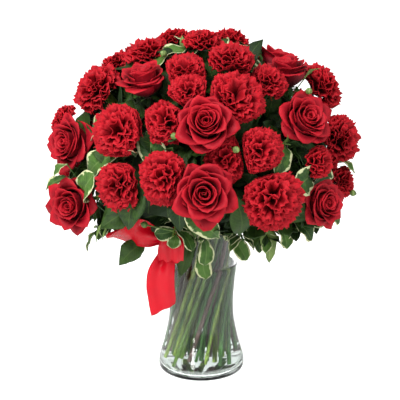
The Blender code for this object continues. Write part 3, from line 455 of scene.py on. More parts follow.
CARNATION_FORMS, MINI_FORMS = 8, 6
carnation_forms = form_collection("carnation_form", [
    frilled_petal(draw) for _ in range(CARNATION_FORMS)], thick=0.012)
mini_forms = form_collection("mini_form", [
    frilled_petal(draw, columns=13, ruffle=0.095, half=0.50) for _ in range(MINI_FORMS)],
    thick=0.016)

# %% [markdown]
# ## A whorl of petals in Geometry Nodes
#
# Petals leave the middle of a bloom at the golden angle, each a little further out than the last.
# That rule is what Geometry Nodes do well: a line of points, one per petal, with a form picked,
# turned, tilted and sized by the point's number. The tree stores a tone for each petal, so the
# finish can vary, and ends in Realize Instances and Set Material.

# %% What every tree of nodes here is made with
def group_tree(name, **inputs):
    """A Geometry Nodes tree with named inputs; gives its graph and its input sockets."""
    tree = bpy.data.node_groups.new(name, "GeometryNodeTree")
    for kind, labels in dict(Geometry=["Geometry"], **inputs, Material=["Finish"]).items():
        for label in labels:
            tree.interface.new_socket(label, in_out="INPUT", socket_type="NodeSocket" + kind)
    tree.interface.new_socket("Geometry", in_out="OUTPUT", socket_type="NodeSocketGeometry")
    graph = Graph(tree)
    entry = graph.add("NodeGroupInput").socket.node
    return tree, graph, {s.name: Sock(graph, s) for s in entry.outputs if s.name}


def chance(graph, low, high, seed, extra):
    """A random number for each point or instance."""
    return graph.add("FunctionNodeRandomValue", dict(data_type="FLOAT"),
                     {2: low, 3: high, 8: seed + extra}, 1)


def toned(graph, geometry, domain, seed, low):
    """Give every instance or curve a chance tone, for its finish to vary by."""
    return graph.add("GeometryNodeStoreNamedAttribute", dict(data_type="FLOAT", domain=domain),
                     {"Geometry": geometry, "Name": "tone",
                      "Value": chance(graph, low, 1.0, seed, 5)})


def end_tree(graph, geometry, material):
    """Realize Instances, Set Material and the tree's output."""
    real = graph.add("GeometryNodeRealizeInstances", {}, {0: geometry})
    done = graph.add("GeometryNodeSetMaterial", {}, {"Geometry": real, "Material": material})
    graph.add("NodeGroupOutput", {}, {0: done})


def end_with_forms(graph, given, low, sockets):
    """Put the collection's forms on points, each with a tone, and end the tree."""
    forms = graph.add("GeometryNodeCollectionInfo", {},
                      {"Collection": given["Forms"], "Separate Children": True})
    placed = graph.add("GeometryNodeInstanceOnPoints", {},
                       {"Instance": forms, "Pick Instance": True, **sockets})
    end_tree(graph, toned(graph, placed, "INSTANCE", given["Seed"], low), given["Finish"])


# %% The whorl tree
GOLDEN_ANGLE = 2.399963     # radians


def whorl_tree():
    tree, graph, given = group_tree(
        "whorl_of_petals", Collection=["Forms"], Int=["Form Count", "Petals", "Seed"],
        Float=["Form Mixing", "Foot Height", "Inner Tilt", "Outer Tilt", "Tilt Spread",
               "Inner Size", "Middle Size", "Outer Size"])
    seed, petals = given["Seed"], given["Petals"]
    start = graph.add("ShaderNodeCombineXYZ", {}, {2: given["Foot Height"]})
    line = graph.add("GeometryNodeMeshLine", dict(mode="OFFSET"),
                     {"Count": petals, "Start Location": start, "Offset": (0, 0, 0)})
    number = graph.add("GeometryNodeInputIndex")
    share = (number + 0.5) / petals
    forms = given["Form Count"]
    pick = share * forms + chance(graph, -1.0, 1.0, seed, 1) * given["Form Mixing"]
    pick = graph.math("MODULO", graph.math("FLOOR", pick) + forms * 8, forms)
    tilt = given["Inner Tilt"] + (
        given["Outer Tilt"] - given["Inner Tilt"]) * graph.math("SQRT", share)
    tilt = tilt + chance(graph, -1.0, 1.0, seed, 2) * given["Tilt Spread"]
    turn = number * GOLDEN_ANGLE + chance(graph, -0.18, 0.18, seed, 3)
    euler = graph.add("ShaderNodeCombineXYZ", {}, {1: tilt, 2: turn})
    rotation = graph.add("FunctionNodeEulerToRotation", {}, {0: euler})
    humped = 4 * share * (1 - share)
    size = given["Inner Size"] * (1 - share) + given["Outer Size"] * share
    size = size + humped * (given["Middle Size"] - size)
    size = size * chance(graph, 0.95, 1.04, seed, 4)
    end_with_forms(graph, given, 0.35, {
        "Points": line, "Instance Index": pick, "Rotation": rotation, "Scale": size})
    return tree


WHORL = whorl_tree()
print("whorl tree:", len(WHORL.nodes), "nodes")


# %% Running a tree
def grown(tree, name, values, geometry=None):
    """The tree's result as a plain mesh, for a set of named inputs."""
    seedbed = stand("seedbed", geometry or bpy.data.meshes.new("seedbed"))
    modifier = seedbed.modifiers.new("nodes", "NODES")
    modifier.node_group = tree
    for item in tree.interface.items_tree:
        if item.in_out == "INPUT" and item.name in values:
            modifier[item.identifier] = values[item.name]
    bpy.context.view_layer.update()
    depsgraph = bpy.context.evaluated_depsgraph_get()
    mesh = bpy.data.meshes.new_from_object(seedbed.evaluated_get(depsgraph))
    mesh.name = name
    seedbed.modifiers.clear()
    bpy.data.objects.remove(seedbed)
    return mesh


# %% [markdown]
# ## Blooms in place
#
# Each head is a whorl made at the origin with half its width as the unit, then turned to face
# outwards and moved to its place. Where two heads press on each other, soft petals give way:
# a point that comes near the plane between two heads is pushed back from it, more the further it
# would reach past.

# %% The measures of a whorl
MEASURES = ("Form Count", "Form Mixing", "Petals", "Foot Height", "Inner Tilt", "Outer Tilt",
            "Tilt Spread", "Inner Size", "Middle Size", "Outer Size")
WHORLS = {
    ROSE: dict(zip(MEASURES, (ROSE_FORMS, 0.0, 28, -0.60, 0.0, 0.03, 0.07, 0.98, 1.0, 1.0)),
               Forms=rose_forms, Finish=ROSE_FINISH),
    CARNATION: dict(zip(MEASURES, (CARNATION_FORMS, 4.0, 46, -0.46, -0.20, 1.05, 0.12, 1.10, 1.18,
                                   1.08)), Forms=carnation_forms, Finish=CARNATION_FINISH),
    MINI: dict(zip(MEASURES, (MINI_FORMS, 3.0, 32, -0.46, -0.15, 1.10, 0.12, 1.02, 1.08, 1.05)),
               Forms=mini_forms, Finish=SPRAY_FINISH)}
SLOTS = {ROSE: "rose_petals", CARNATION: "carnation_petals", MINI: "spray_carnation_petals"}


# %% Pressing heads together
NEAR = 1.12                 # how much of their two half widths apart heads still press
SOFT = 0.30                 # the share of a head that gives way


def pressed(points, name):
    me = heads[name]
    margin = SOFT * me["half"]
    for other, it in heads.items():
        apart = it["middle"] - me["middle"]
        distance = apart.length
        if other == name or distance > (me["half"] + it["half"]) * NEAR:
            continue
        way = np.array(apart / distance)
        plane = distance * me["half"] / (me["half"] + it["half"]) - GAP
        past = (points - np.array(me["middle"])) @ way - (plane - margin)
        give = np.where(past > 0, past - margin * (1 - np.exp(-np.maximum(past, 0) / margin)), 0)
        points = points - give[:, None] * way
    return points


def moved(points, matrix):
    matrix = np.array(matrix)
    return points @ matrix[:3, :3].T + matrix[:3, 3]


def mesh_points(mesh):
    points = np.empty(len(mesh.vertices) * 3, dtype=np.float32)
    mesh.vertices.foreach_get("co", points)
    return points.reshape(-1, 3).astype(float)


def set_mesh_points(mesh, points):
    mesh.vertices.foreach_set("co", points.astype(np.float32).ravel())
    mesh.update()


# %% The blooms
def declare(ob, slot, *nodes):
    """The piece rides on the one body and stands for its nodes; the slot is not used."""
    if nodes:
        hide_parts(*nodes)
    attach(ob, "root")


total = 0
for number, (name, me) in enumerate(heads.items()):
    mesh = grown(WHORL, name + "_petals", dict(WHORLS[me["kind"]], Seed=100 + 7 * number))
    roll = 0.7 * len(name) + me["bearing"] * 0.05
    place = facing_matrix(me["middle"], me["face"], roll)
    set_mesh_points(mesh, pressed(moved(mesh_points(mesh) * me["half"], place), name))
    bloom = object_from_mesh(mesh)
    declare(bloom, SLOTS[me["kind"]], name)
    total += triangles(bloom)
print(len(heads), "blooms,", total, "triangles")

# %% [markdown]
# ## The vase
#
# A pressed glass vase with a thick foot, a waist and a flared lip. It is a turned shape, so a
# tree turns its outline: a grid whose one side runs along the outline and whose other runs round
# the axis, and whose seam and poles are then merged. The outline was measured against the
# photograph every few millimetres.

# %% The vase's outline
GLASS = 0.0042              # thickness of the wall
FLOOR = 0.0045              # thickness of the foot under the water
OUTSIDE = (                 # height, radius in mm
    (0, 54.0), (1.2, 55.6), (4, 56.8), (8, 57.0), (15, 56.0), (24, 53.5), (33, 50.7), (41, 48.7),
    (50, 46.8), (59, 44.9), (67, 43.5), (76, 42.5), (88, 42.1), (100, 42.3), (110, 43.0),
    (118, 43.7), (126, 44.6), (135, 45.8), (143, 46.9), (154, 48.3), (170, 50.0), (186, 51.6),
    (201, 53.0))


def smooth_path(points, steps=4):
    """More points on a smooth curve through the given ones."""
    points = np.array(points, dtype=float)
    padded = np.concatenate([[2 * points[0] - points[1]], points, [2 * points[-1] - points[-2]]])
    found = []
    for a, b, c, d in zip(padded, padded[1:], padded[2:], padded[3:]):
        for k in range(steps):
            t = k / steps
            found.append(0.5 * (2 * b + (c - a) * t + (2 * a - 5 * b + 4 * c - d) * t * t
                                + (3 * b - a - 3 * c + d) * t ** 3))
    return np.array(found + [points[-1]])


outer = np.array([(r, z) for z, r in smooth_path(OUTSIDE)]) / 1000
print("vase outline:", len(outer), "points, waist", round(outer[:, 0].min() * 1000, 1), "mm")


# %% Glass, inside face and water outlines
def inner_radius(height):
    return float(np.interp(height, outer[:, 1], outer[:, 0])) - GLASS


inside = [(0.0, FLOOR - 0.0006), (0.030, FLOOR - 0.0003), (0.047, FLOOR + 0.0006),
          (0.0505, FLOOR + 0.0040)]
inside += [(inner_radius(z), z) for z in np.linspace(0.018, 0.2005, 46)]
lip = [(0.0529, 0.2020), (0.0519, 0.2029), (0.0508, 0.2030), (0.0496, 0.2022)]
foot = [(0.0, 0.0008), (0.030, 0.0007), (0.044, 0.0003), (0.050, 0.0)]
vase_outline = foot + [tuple(p) for p in outer] + lip + inside[::-1]
WATER_TOP = 0.148
OVERLAP = 0.0004            # water wets the glass, so no air is left between them
water_outline = [(0.0, FLOOR - 0.0010), (0.030, FLOOR - 0.0007), (0.0474, FLOOR + 0.0002),
                 (0.0509, FLOOR + 0.0038)]
water_outline += [(inner_radius(z) + OVERLAP, z) for z in np.linspace(0.018, WATER_TOP, 34)]
water_outline += [(inner_radius(WATER_TOP) - 0.0012, WATER_TOP - 0.0004),
                  (0.0, WATER_TOP - 0.0008)]
print("glass outline", len(vase_outline), "water outline", len(water_outline))

# %% A tree that turns an outline
WELD = 0.000002
VASE_SIDES = 96


def turning_tree():
    tree, graph, given = group_tree("turned_outline", Object=["Outline"], Int=["Points", "Sides"])
    grid = graph.add("GeometryNodeMeshGrid", {}, {
        "Size X": 1.0, "Size Y": 1.0, "Vertices X": given["Points"],
        "Vertices Y": given["Sides"] + 1})
    place = graph.add("GeometryNodeInputPosition")
    parts = graph.add("ShaderNodeSeparateXYZ", {}, {0: place})
    around = (parts.twin(1) + 0.5) * math.tau
    line = graph.add("GeometryNodeObjectInfo", {}, {"Object": given["Outline"]}, out="Geometry")
    spot = graph.math("ROUND", (parts + 0.5) * (given["Points"] - 1))
    at = graph.add("GeometryNodeSampleIndex", dict(data_type="FLOAT_VECTOR", domain="POINT"),
                   {"Geometry": line, "Value": place, "Index": spot})
    turned = graph.add("ShaderNodeVectorRotate", dict(rotation_type="Z_AXIS"),
                       {"Vector": at, "Angle": around})
    shaped = graph.add("GeometryNodeSetPosition", {}, {"Geometry": grid, "Position": turned})
    closed = graph.add("GeometryNodeMergeByDistance", {}, {"Geometry": shaped, "Distance": WELD})
    smooth = graph.add("GeometryNodeSetShadeSmooth", {}, {"Geometry": closed})
    end_tree(graph, smooth, given["Finish"])
    return tree


TURNING = turning_tree()


def turned_piece(name, outline, material):
    """A solid of revolution from an outline of (radius, height)."""
    line = bpy.data.meshes.new("outline")
    line.from_pydata([(r, 0, z) for r, z in outline],
                     [(k, k + 1) for k in range(len(outline) - 1)], [])
    carrier = stand("outline", line)
    mesh = grown(TURNING, name, dict(Outline=carrier, Points=len(outline), Sides=VASE_SIDES,
                                     Finish=material))
    bpy.data.objects.remove(carrier)
    return outward(mesh)


def outward(mesh):
    """The same mesh with every face looking out."""
    bm = bmesh.new()
    bm.from_mesh(mesh)
    bmesh.ops.recalc_face_normals(bm, faces=bm.faces)
    if bm.calc_volume(signed=True) < 0:
        bmesh.ops.reverse_faces(bm, faces=bm.faces)
    bm.to_mesh(mesh)
    bm.free()
    return mesh


# %% [markdown]
# ## Glass and water
#
# Clear glass takes its look from refraction, so both are the Principled shader with full
# transmission, at 1.45 and 1.33. A pane this thick throws hardly any shadow in a bright room,
# so for shadow rays the glass is mixed with a clear shader.


# %% Clear finishes
def clear_finish(name, ior, tint, bumps, mirror):
    material, graph, shader = finish(name, IOR=ior, Transmission_Weight=1.0, Roughness=0.0,
                                     Specular_Tint=shade(mirror, mirror, mirror))
    streaks = noise(graph, coordinates(graph), bumps, 1.0)
    colour = graph.blend(streaks * 0.5, tint, shade(0.99, 1.0, 0.995))
    feed(graph, shader, colour, None, streaks, strength=0.06)
    shadow = graph.add("ShaderNodeLightPath", out="Is Shadow Ray")
    thin = graph.add("ShaderNodeBsdfTransparent", {}, {"Color": shade(0.93, 0.95, 0.94)})
    mixed = graph.add("ShaderNodeMixShader", {}, {
        0: shadow, 1: Sock(graph, shader.outputs[0]), 2: thin})
    graph.link(mixed, material.node_tree.nodes["Material Output"].inputs["Surface"])
    return material


GLASS_FINISH = clear_finish("glass", 1.45, shade(0.955, 0.985, 0.975), bumps=30, mirror=0.6)
WATER_FINISH = clear_finish("water", 1.33, shade(0.96, 0.985, 0.965), bumps=20, mirror=0.0)
vase = object_from_mesh(turned_piece("vase_glass", vase_outline, GLASS_FINISH))
declare(vase, "glass", "vase")
water = object_from_mesh(turned_piece("vase_water", water_outline, WATER_FINISH))
declare(water, "water", "water")
print("vase", triangles(vase), "water", triangles(water))

# %% [markdown]
# ## Green finishes
#
# Stems are smooth and waxy with darker streaks along them. Leaves have a pale midrib, side veins
# that slant towards the tip, and for the variegated kind a cream margin of uneven width.


# %% Stem finish
def stem_finish(name, brown, green, olive):
    material, graph, shader = finish(name, Roughness=0.5, Specular_IOR_Level=0.3)
    place = coordinates(graph)
    tone = tone_of(graph)
    drawn = graph.add("ShaderNodeMapping", {}, {"Vector": place, "Scale": (1.0, 1.0, 0.08)})
    streaks = noise(graph, drawn, 420, 4.0)
    spots = noise(graph, place, 60)
    colour = graph.blend(graph.step(tone, 0.24, 0.34), brown, green)
    colour = graph.blend(graph.step(tone, 0.56, 0.72), colour, olive)
    dark = graph.blend(0.62, colour, shade(0.008, 0.012, 0.006))
    colour = graph.blend(graph.step(streaks + (spots - 0.5) * 0.5, 0.34, 0.60), dark, colour)
    feed(graph, shader, colour, 0.35 + spots * 0.3, streaks, strength=0.4)
    return material


# %% Leaf finishes
def leaf_finish(name, dark, light, vein, margin=None):
    material, graph, shader = finish(name, Specular_IOR_Level=0.20)
    across, along = split_uv(graph)
    tone = tone_of(graph)
    place = coordinates(graph)
    patches = noise(graph, place, 120)
    fine = noise(graph, place, 700)
    off = abs(across - 0.5) * 2
    midrib = 1 - graph.step(off, 0.02, 0.09)
    slant = graph.math("FRACT", (along - off * 0.22) * 13)
    ribs = 1 - graph.step(abs(slant - 0.5), 0.02, 0.10)
    lines = midrib + ribs * 0.45 * (1 - midrib)
    colour = graph.blend(graph.step(patches + (tone - 0.5) * 0.5, 0.30, 0.75), dark, light)
    colour = graph.blend(lines * 0.55, colour, vein)
    if margin:
        edge = off + (patches - 0.5) * 0.9 + (along - 0.5) ** 2 * 0.4
        colour = graph.blend(graph.step(edge, 0.80, 0.88), colour, margin)
    feed(graph, shader, colour, 0.42 + patches * 0.2, fine * 0.4 - lines * 0.8, strength=0.5,
         depth=0.0006)
    return material


STEM_FINISH = stem_finish("stems", shade(0.090, 0.052, 0.045), shade(0.040, 0.120, 0.022),
                          shade(0.150, 0.220, 0.035))
BUD_FINISH = stem_finish("buds", shade(0.11, 0.20, 0.040), shade(0.16, 0.25, 0.06),
                         shade(0.20, 0.30, 0.08))
DARK_LEAF = leaf_finish("dark_leaf", shade(0.008, 0.022, 0.005), shade(0.026, 0.060, 0.009),
                        shade(0.055, 0.10, 0.02))
BROAD_LEAF = leaf_finish("broad_leaf", shade(0.060, 0.115, 0.022), shade(0.14, 0.21, 0.055),
                         shade(0.32, 0.38, 0.15))
CREAM_LEAF = leaf_finish("variegated_leaf", shade(0.018, 0.055, 0.010), shade(0.060, 0.135, 0.022),
                         shade(0.13, 0.20, 0.06), shade(0.50, 0.52, 0.29))
print("green finishes:", STEM_FINISH.name, DARK_LEAF.name, BROAD_LEAF.name, CREAM_LEAF.name)

# %% [markdown]
# ## Where the stems run
#
# The florist turns the stems in the hand while adding them, so they cross at the vase's waist and
# fan out again below. In the vase each stem is a straight line; above the rim it bends out to its
# head. The routes are worked out by the same few rules as the solid's, so that every stem meets
# its head and clears the glass.

# %% Measures of the bunch
STEM_FOOT, STEM_TOP = 0.011, 0.152              # the ends of the straight part
TOP_SPREAD, FOOT_SPREAD = 0.0350, 0.0450        # radius of the bunch there
WAIST_TWIST = math.radians(68)
STEM_SPACING = 0.0082
STEM_RADIUS = {ROSE: 0.0027, CARNATION: 0.0023, MINI: 0.0018}
BASE_DEPTH = {ROSE: 0.62, CARNATION: 0.46, MINI: 0.46}      # these three are in half widths
CUP_LENGTH = {ROSE: 0.26, CARNATION: 0.70, MINI: 0.72}
CUP_RADIUS = {ROSE: 0.155, CARNATION: 0.21, MINI: 0.22}
ARC_STATIONS = ((0.0, 0.34, 0.70), (0.0, 0.22, 0.60), (0.0, 0.16, 0.55))
VASE_HEIGHT = 0.203
WALL = (                    # radius and height of the glass's outside
    (0.0540, 0.0000), (0.0570, 0.0040), (0.0562, 0.0150), (0.0492, 0.0380), (0.0432, 0.0680),
    (0.0422, 0.0980), (0.0480, 0.1520), (0.0530, 0.2010))


def ring_point(radius, angle, height):
    return Vector((radius * math.sin(angle), -radius * math.cos(angle), height))


def bezier(p0, p1, p2, p3, t):
    s = 1 - t
    return p0 * s**3 + p1 * 3 * s * s * t + p2 * 3 * s * t * t + p3 * t**3


# %% The straight part of every stem
def spread_out(flat):
    """Push points of the round apart until none is nearer than the spacing to another."""
    for _ in range(400):
        apart = flat[:, None] - flat[None]
        distance = np.linalg.norm(apart, axis=2) + np.eye(len(flat))
        push = np.clip(STEM_SPACING - distance, 0, None) * (1 - np.eye(len(flat)))
        flat = flat + 0.25 * (apart / distance[:, :, None] * push[:, :, None]).sum(axis=1)
        flat *= np.minimum(1, TOP_SPREAD / np.linalg.norm(flat, axis=1))[:, None]
    return flat


names = list(heads)
order = sorted(range(len(names)), key=lambda k: -heads[names[k]]["lift"])
flat = np.zeros((len(names), 2))
for rank, k in enumerate(order):
    far = TOP_SPREAD * math.sqrt((rank + 0.5) / len(names))
    flat[k] = ring_point(far, math.radians(heads[names[k]]["bearing"] - 12), 0).xy
flat = spread_out(flat)
for k, name in enumerate(names):
    top = Vector((flat[k][0], flat[k][1], STEM_TOP))
    foot = Matrix.Rotation(-WAIST_TWIST, 3, "Z") @ top * (FOOT_SPREAD / TOP_SPREAD)
    foot.z = STEM_FOOT + 0.0012 * (k % 4)
    heads[name].update(top=top, foot=foot, stem=STEM_RADIUS[heads[name]["kind"]])
print("stems stand between", STEM_FOOT, "and", STEM_TOP, "m")


# %% The bend from the rim to the head
CLEARANCE = 0.0010          # between a stem and the glass


def clears_lip(points, radius):
    room = radius + CLEARANCE
    for a, b in zip(points, points[1:]):
        for k in range(8):
            at = a.lerp(b, k / 8)
            far = math.hypot(at.x, at.y)
            wall = float(np.interp(at.z, [p[1] for p in WALL], [p[0] - GLASS for p in WALL]))
            if at.z < VASE_HEIGHT + room and wall - room < far < wall + GLASS + room:
                return False
    return True


def arc_of(me):
    """Points of the bend, which ends at the foot of the green cup, and the cup's top."""
    half, kind, start = me["half"], me["kind"], me["top"]
    cup_top = me["middle"] - me["face"] * (half * BASE_DEPTH[kind] + GAP * 1.5)
    cup_foot = cup_top - me["face"] * half * CUP_LENGTH[kind]
    along = (start - me["foot"]).normalized()
    reach = (cup_foot - start).length
    for raised in range(26):
        rise = along * (1 - 0.05 * raised) + UP * (0.05 * raised)
        controls = (start, start + rise * (0.40 + 0.03 * raised) * reach,
                    cup_foot - me["face"] * 0.28 * reach, cup_foot)
        for stations in ARC_STATIONS:
            points = [bezier(*controls, t) for t in stations] + [cup_foot]
            if clears_lip(points, me["stem"]):
                return points, cup_top
    return points, cup_top


# %% [markdown]
# ## Stems, hips and calyx tubes
#
# A stem is a tube along a path, so a tree lays a round section along one curve for each flower.
# The curve's own radius makes the swellings: the joints of a carnation stem, the hip below a
# rose, and the long green calyx tube that holds a carnation's petals together.

# %% Places that a leaf can grow from
LEAF_STEP = 0.007           # between two such places
LOWEST_LEAF = 0.175         # their least height


def places_along(points):
    found = []
    for a, b in zip(points, points[1:]):
        steps = max(1, int((b - a).length / LEAF_STEP))
        found += [a.lerp(b, k / steps) for k in range(steps)]
    return [spot for spot in found if spot.z > LOWEST_LEAF]


def smooth_vectors(points, steps):
    return [Vector(p) for p in smooth_path([tuple(p) for p in points], steps)]


# %% Stem curves
STRAIGHT = 16               # stations on the straight part
JOINT = 1.28                # how much a carnation's stem swells at a joint
SWELL = {                   # share of the cup's length, share of its radius
    ROSE: ((0.25, 0.85), (0.5, 1.0), (0.8, 0.9), (1.0, 0.8)),
    CARNATION: ((0.10, 0.55), (0.25, 0.66), (0.6, 0.78), (0.85, 0.9), (1.0, 1.0))}
SWELL[MINI] = SWELL[CARNATION]
stem_paths = []
spots = []                  # places that a leaf can grow from
draw = random.Random(21)
for name, me in heads.items():
    kind = me["kind"]
    bend, cup_top = arc_of(me)
    spots += places_along(bend)
    cut = draw.uniform(-0.025, 0.075)       # the florist's cuts are not level
    path = [me["foot"].lerp(me["top"], cut + (1 - cut) * k / STRAIGHT) for k in range(STRAIGHT)]
    path += smooth_vectors(bend, 5)
    radii = [me["stem"]] * len(path)
    joint = draw.uniform(0.03, 0.06)
    for k in range(STRAIGHT):
        if kind != ROSE and abs((path[k].z + joint) % 0.055 - 0.02) < 0.005:
            radii[k] *= JOINT
    cup_foot, cup = path[-1], CUP_RADIUS[kind] * me["half"]
    path += [cup_foot.lerp(cup_top, t) for t, share in SWELL[kind]]
    radii += [cup * share for t, share in SWELL[kind]]
    stem_paths.append((path, radii))
print(len(stem_paths), "stem paths,", len(spots), "places for leaves")


# %% The tube tree
TONE_SEED = 3


def tube_tree():
    tree, graph, given = group_tree("tubes_along_paths", Int=["Sides"])
    ring = graph.add("GeometryNodeCurvePrimitiveCircle", {}, {
        "Resolution": given["Sides"], "Radius": 1.0})
    tube = graph.add("GeometryNodeCurveToMesh", {}, {
        "Curve": toned(graph, given["Geometry"], "CURVE", TONE_SEED, 0.0),
        "Profile Curve": ring, "Scale": graph.add("GeometryNodeInputRadius"), "Fill Caps": True})
    welded = graph.add("GeometryNodeMergeByDistance", {}, {"Geometry": tube, "Distance": WELD})
    end_tree(graph, graph.add("GeometryNodeSetShadeSmooth", {}, {"Geometry": welded}),
             given["Finish"])
    return tree


TUBES = tube_tree()


def tubes(name, paths, sides, material):
    """One mesh of tubes, each along its own path with its own radii."""
    curve = bpy.data.curves.new(name, "CURVE")
    curve.dimensions = "3D"
    for path, radii in paths:
        spline = curve.splines.new("POLY")
        spline.points.add(len(path) - 1)
        for knot, place, radius in zip(spline.points, path, radii):
            knot.co = (*place, 1.0)
            knot.radius = radius
    return grown(TUBES, name, dict(Sides=sides, Finish=material), curve)


# %% [markdown]
# ## Leaves
#
# A leaf is a sheet with its own outline, folded a little along the midrib, arched so that its tip
# bends down, and waved along its edges. The florist's dark greenery fills the dome between the
# heads, and sprigs of variegated leaves make a collar over the rim.

# %% One leaf
PITTO, BROAD, GRASS, PLAIN = "pitto", "broad", "grass", "plain"
OUTLINES = {                # share of the half width at points along the leaf
    PITTO: ((0, 0.08), (0.10, 0.14), (0.25, 0.58), (0.45, 0.90), (0.65, 1.0), (0.84, 0.86),
            (0.95, 0.55), (1.0, 0.12)),
    BROAD: ((0, 0.05), (0.08, 0.10), (0.18, 0.72), (0.40, 1.0), (0.60, 0.92), (0.80, 0.55),
            (0.93, 0.20), (1.0, 0.02)),
    PLAIN: ((0, 0.08), (0.08, 0.12), (0.22, 0.66), (0.45, 1.0), (0.65, 0.95), (0.85, 0.55),
            (0.95, 0.24), (1.0, 0.03)),
    GRASS: ((0, 0.40), (0.3, 0.9), (0.6, 1.0), (0.85, 0.6), (1.0, 0.05))}


def leaf_grid(kind, foot, tip, outward_way, width, droop, seed, rows, columns):
    """Points of a leaf from its foot to its tip; outward_way is the side its face is on."""
    draw = random.Random(seed)
    along = tip - foot
    length = along.length
    across = along.normalized().cross(outward_way)
    if across.length < 0.05:
        across = along.normalized().cross(Vector((0.3, 0.5, 0.8)))
    across.normalize()
    face = across.cross(along).normalized()
    u, v = np.meshgrid(np.linspace(-1, 1, columns), np.linspace(0, 1, rows))
    share = np.interp(v, *zip(*OUTLINES[kind]))
    side = u * share * width / 2
    arch = np.sin(np.pi * v ** 1.1) * droop * length
    fold = (np.abs(u) - 0.4) * share * width * 0.13
    wave = np.sin(v * draw.uniform(8, 13) + np.sign(u) * draw.random() * 3)
    wave = np.abs(u) * width * 0.10 * wave
    sway = np.sin(v * math.pi) * length * draw.uniform(-0.06, 0.06)
    high = arch + fold + wave * share
    return (np.array(foot) + v[..., None] * np.array(along)
            + (side + sway)[..., None] * np.array(across) + high[..., None] * np.array(face))


# %% Many leaves in one piece
class Sheaf:
    """Collects thin forms that share a finish and turns them into one piece."""
    def __init__(self):
        self.parts, self.count = [], 0

    def add(self, grid, thick, tone):
        points, faces, uv = sheet_arrays(grid, thick)
        self.parts.append((points, faces + self.count, uv, np.full(len(points), tone)))
        self.count += len(points)

    def piece(self, name, material):
        mesh = mesh_from_arrays(name, *(np.concatenate(part) for part in zip(*self.parts)))
        return object_from_mesh(mesh, material)


sheaves = {key: Sheaf() for key in ("dark", "broad", "cream")}
SHEAF_OF = {PITTO: "cream", BROAD: "broad", GRASS: "broad", PLAIN: "dark"}
LEAF_THICK = 0.0005
draw = random.Random(77)


def put_leaf(kind, foot, tip, outward_way, width, droop=0.14, sheaf=None, rows=11, columns=7):
    grid = leaf_grid(kind, foot, tip, outward_way, width, droop, draw.random(), rows, columns)
    sheaves[sheaf or SHEAF_OF[kind]].add(grid, LEAF_THICK, draw.random())


# %% [markdown]
# ## Finding the solid's leaves
#
# The solid bunch grew its leaves one by one and kept only those that had room. The leaves here
# follow the same lists and the same seeded draws, and look up each leaf's tip among the solid's
# own points, so each fine leaf lies on the solid leaf that it stands for.

# %% Looking up the solid
solid = frame["nodes"]["stems_and_leaves"]
solid_points = kdtree.KDTree(len(solid.data.vertices))
for vertex in solid.data.vertices:
    solid_points.insert(solid.matrix_world @ vertex.co, vertex.index)
solid_points.balance()
print(len(solid.data.vertices), "points to look up")


def is_solid(place, within=0.0006):
    return solid_points.find(place)[2] < within


def mm(x, y, z):
    return Vector((x, y, z)) / 1000


# %% Sprigs of the collar
TWIGS = ((-102, -20, 0.92), (-80, -24, 0.84), (-20, -24, 0.66), (-6, -28, 0.58),
         (10, -26, 0.62), (27, -24, 0.72), (42, -22, 0.80), (60, -20, 0.86), (80, -18, 0.92),
         (102, -20, 0.90), (134, -20, 0.88), (172, -20, 0.86), (-168, -22, 0.84),
         (-140, -20, 0.88))         # bearing and lift of the end, and its reach
TWIG_RADIUS = 0.0014


def twig_points(bearing, lift, reach):
    """The solid's twig: the first of the trial paths that its points lie on."""
    for aside in (0, 4, -4, 8, -8, 12, -12, 16, -16):
        for step in range(8):
            start = ring_point(0.056, math.radians(bearing + aside), 0.2225)
            end = dome_point(bearing + aside, lift + step % 2 * 4, reach)
            way = end - start
            controls = (start, start + way * 0.3 + UP * (0.003 + 0.003 * step),
                        end - way * 0.40 + UP * 0.020, end)
            points = [bezier(*controls, t) for t in (0.0, 0.3, 0.55, 0.8, 1.0)]
            if all(len(solid_points.find_range(p, 0.0017)) >= 2 for p in points[2:]):
                return points
    return None


twigs = [points for points in (twig_points(*twig) for twig in TWIGS) if points]
for points in twigs:
    spots += places_along(points)
twig_paths = [(smooth_vectors(points, 4), [TWIG_RADIUS] * 17) for points in twigs]
print(len(twigs), "sprigs of", len(TWIGS))

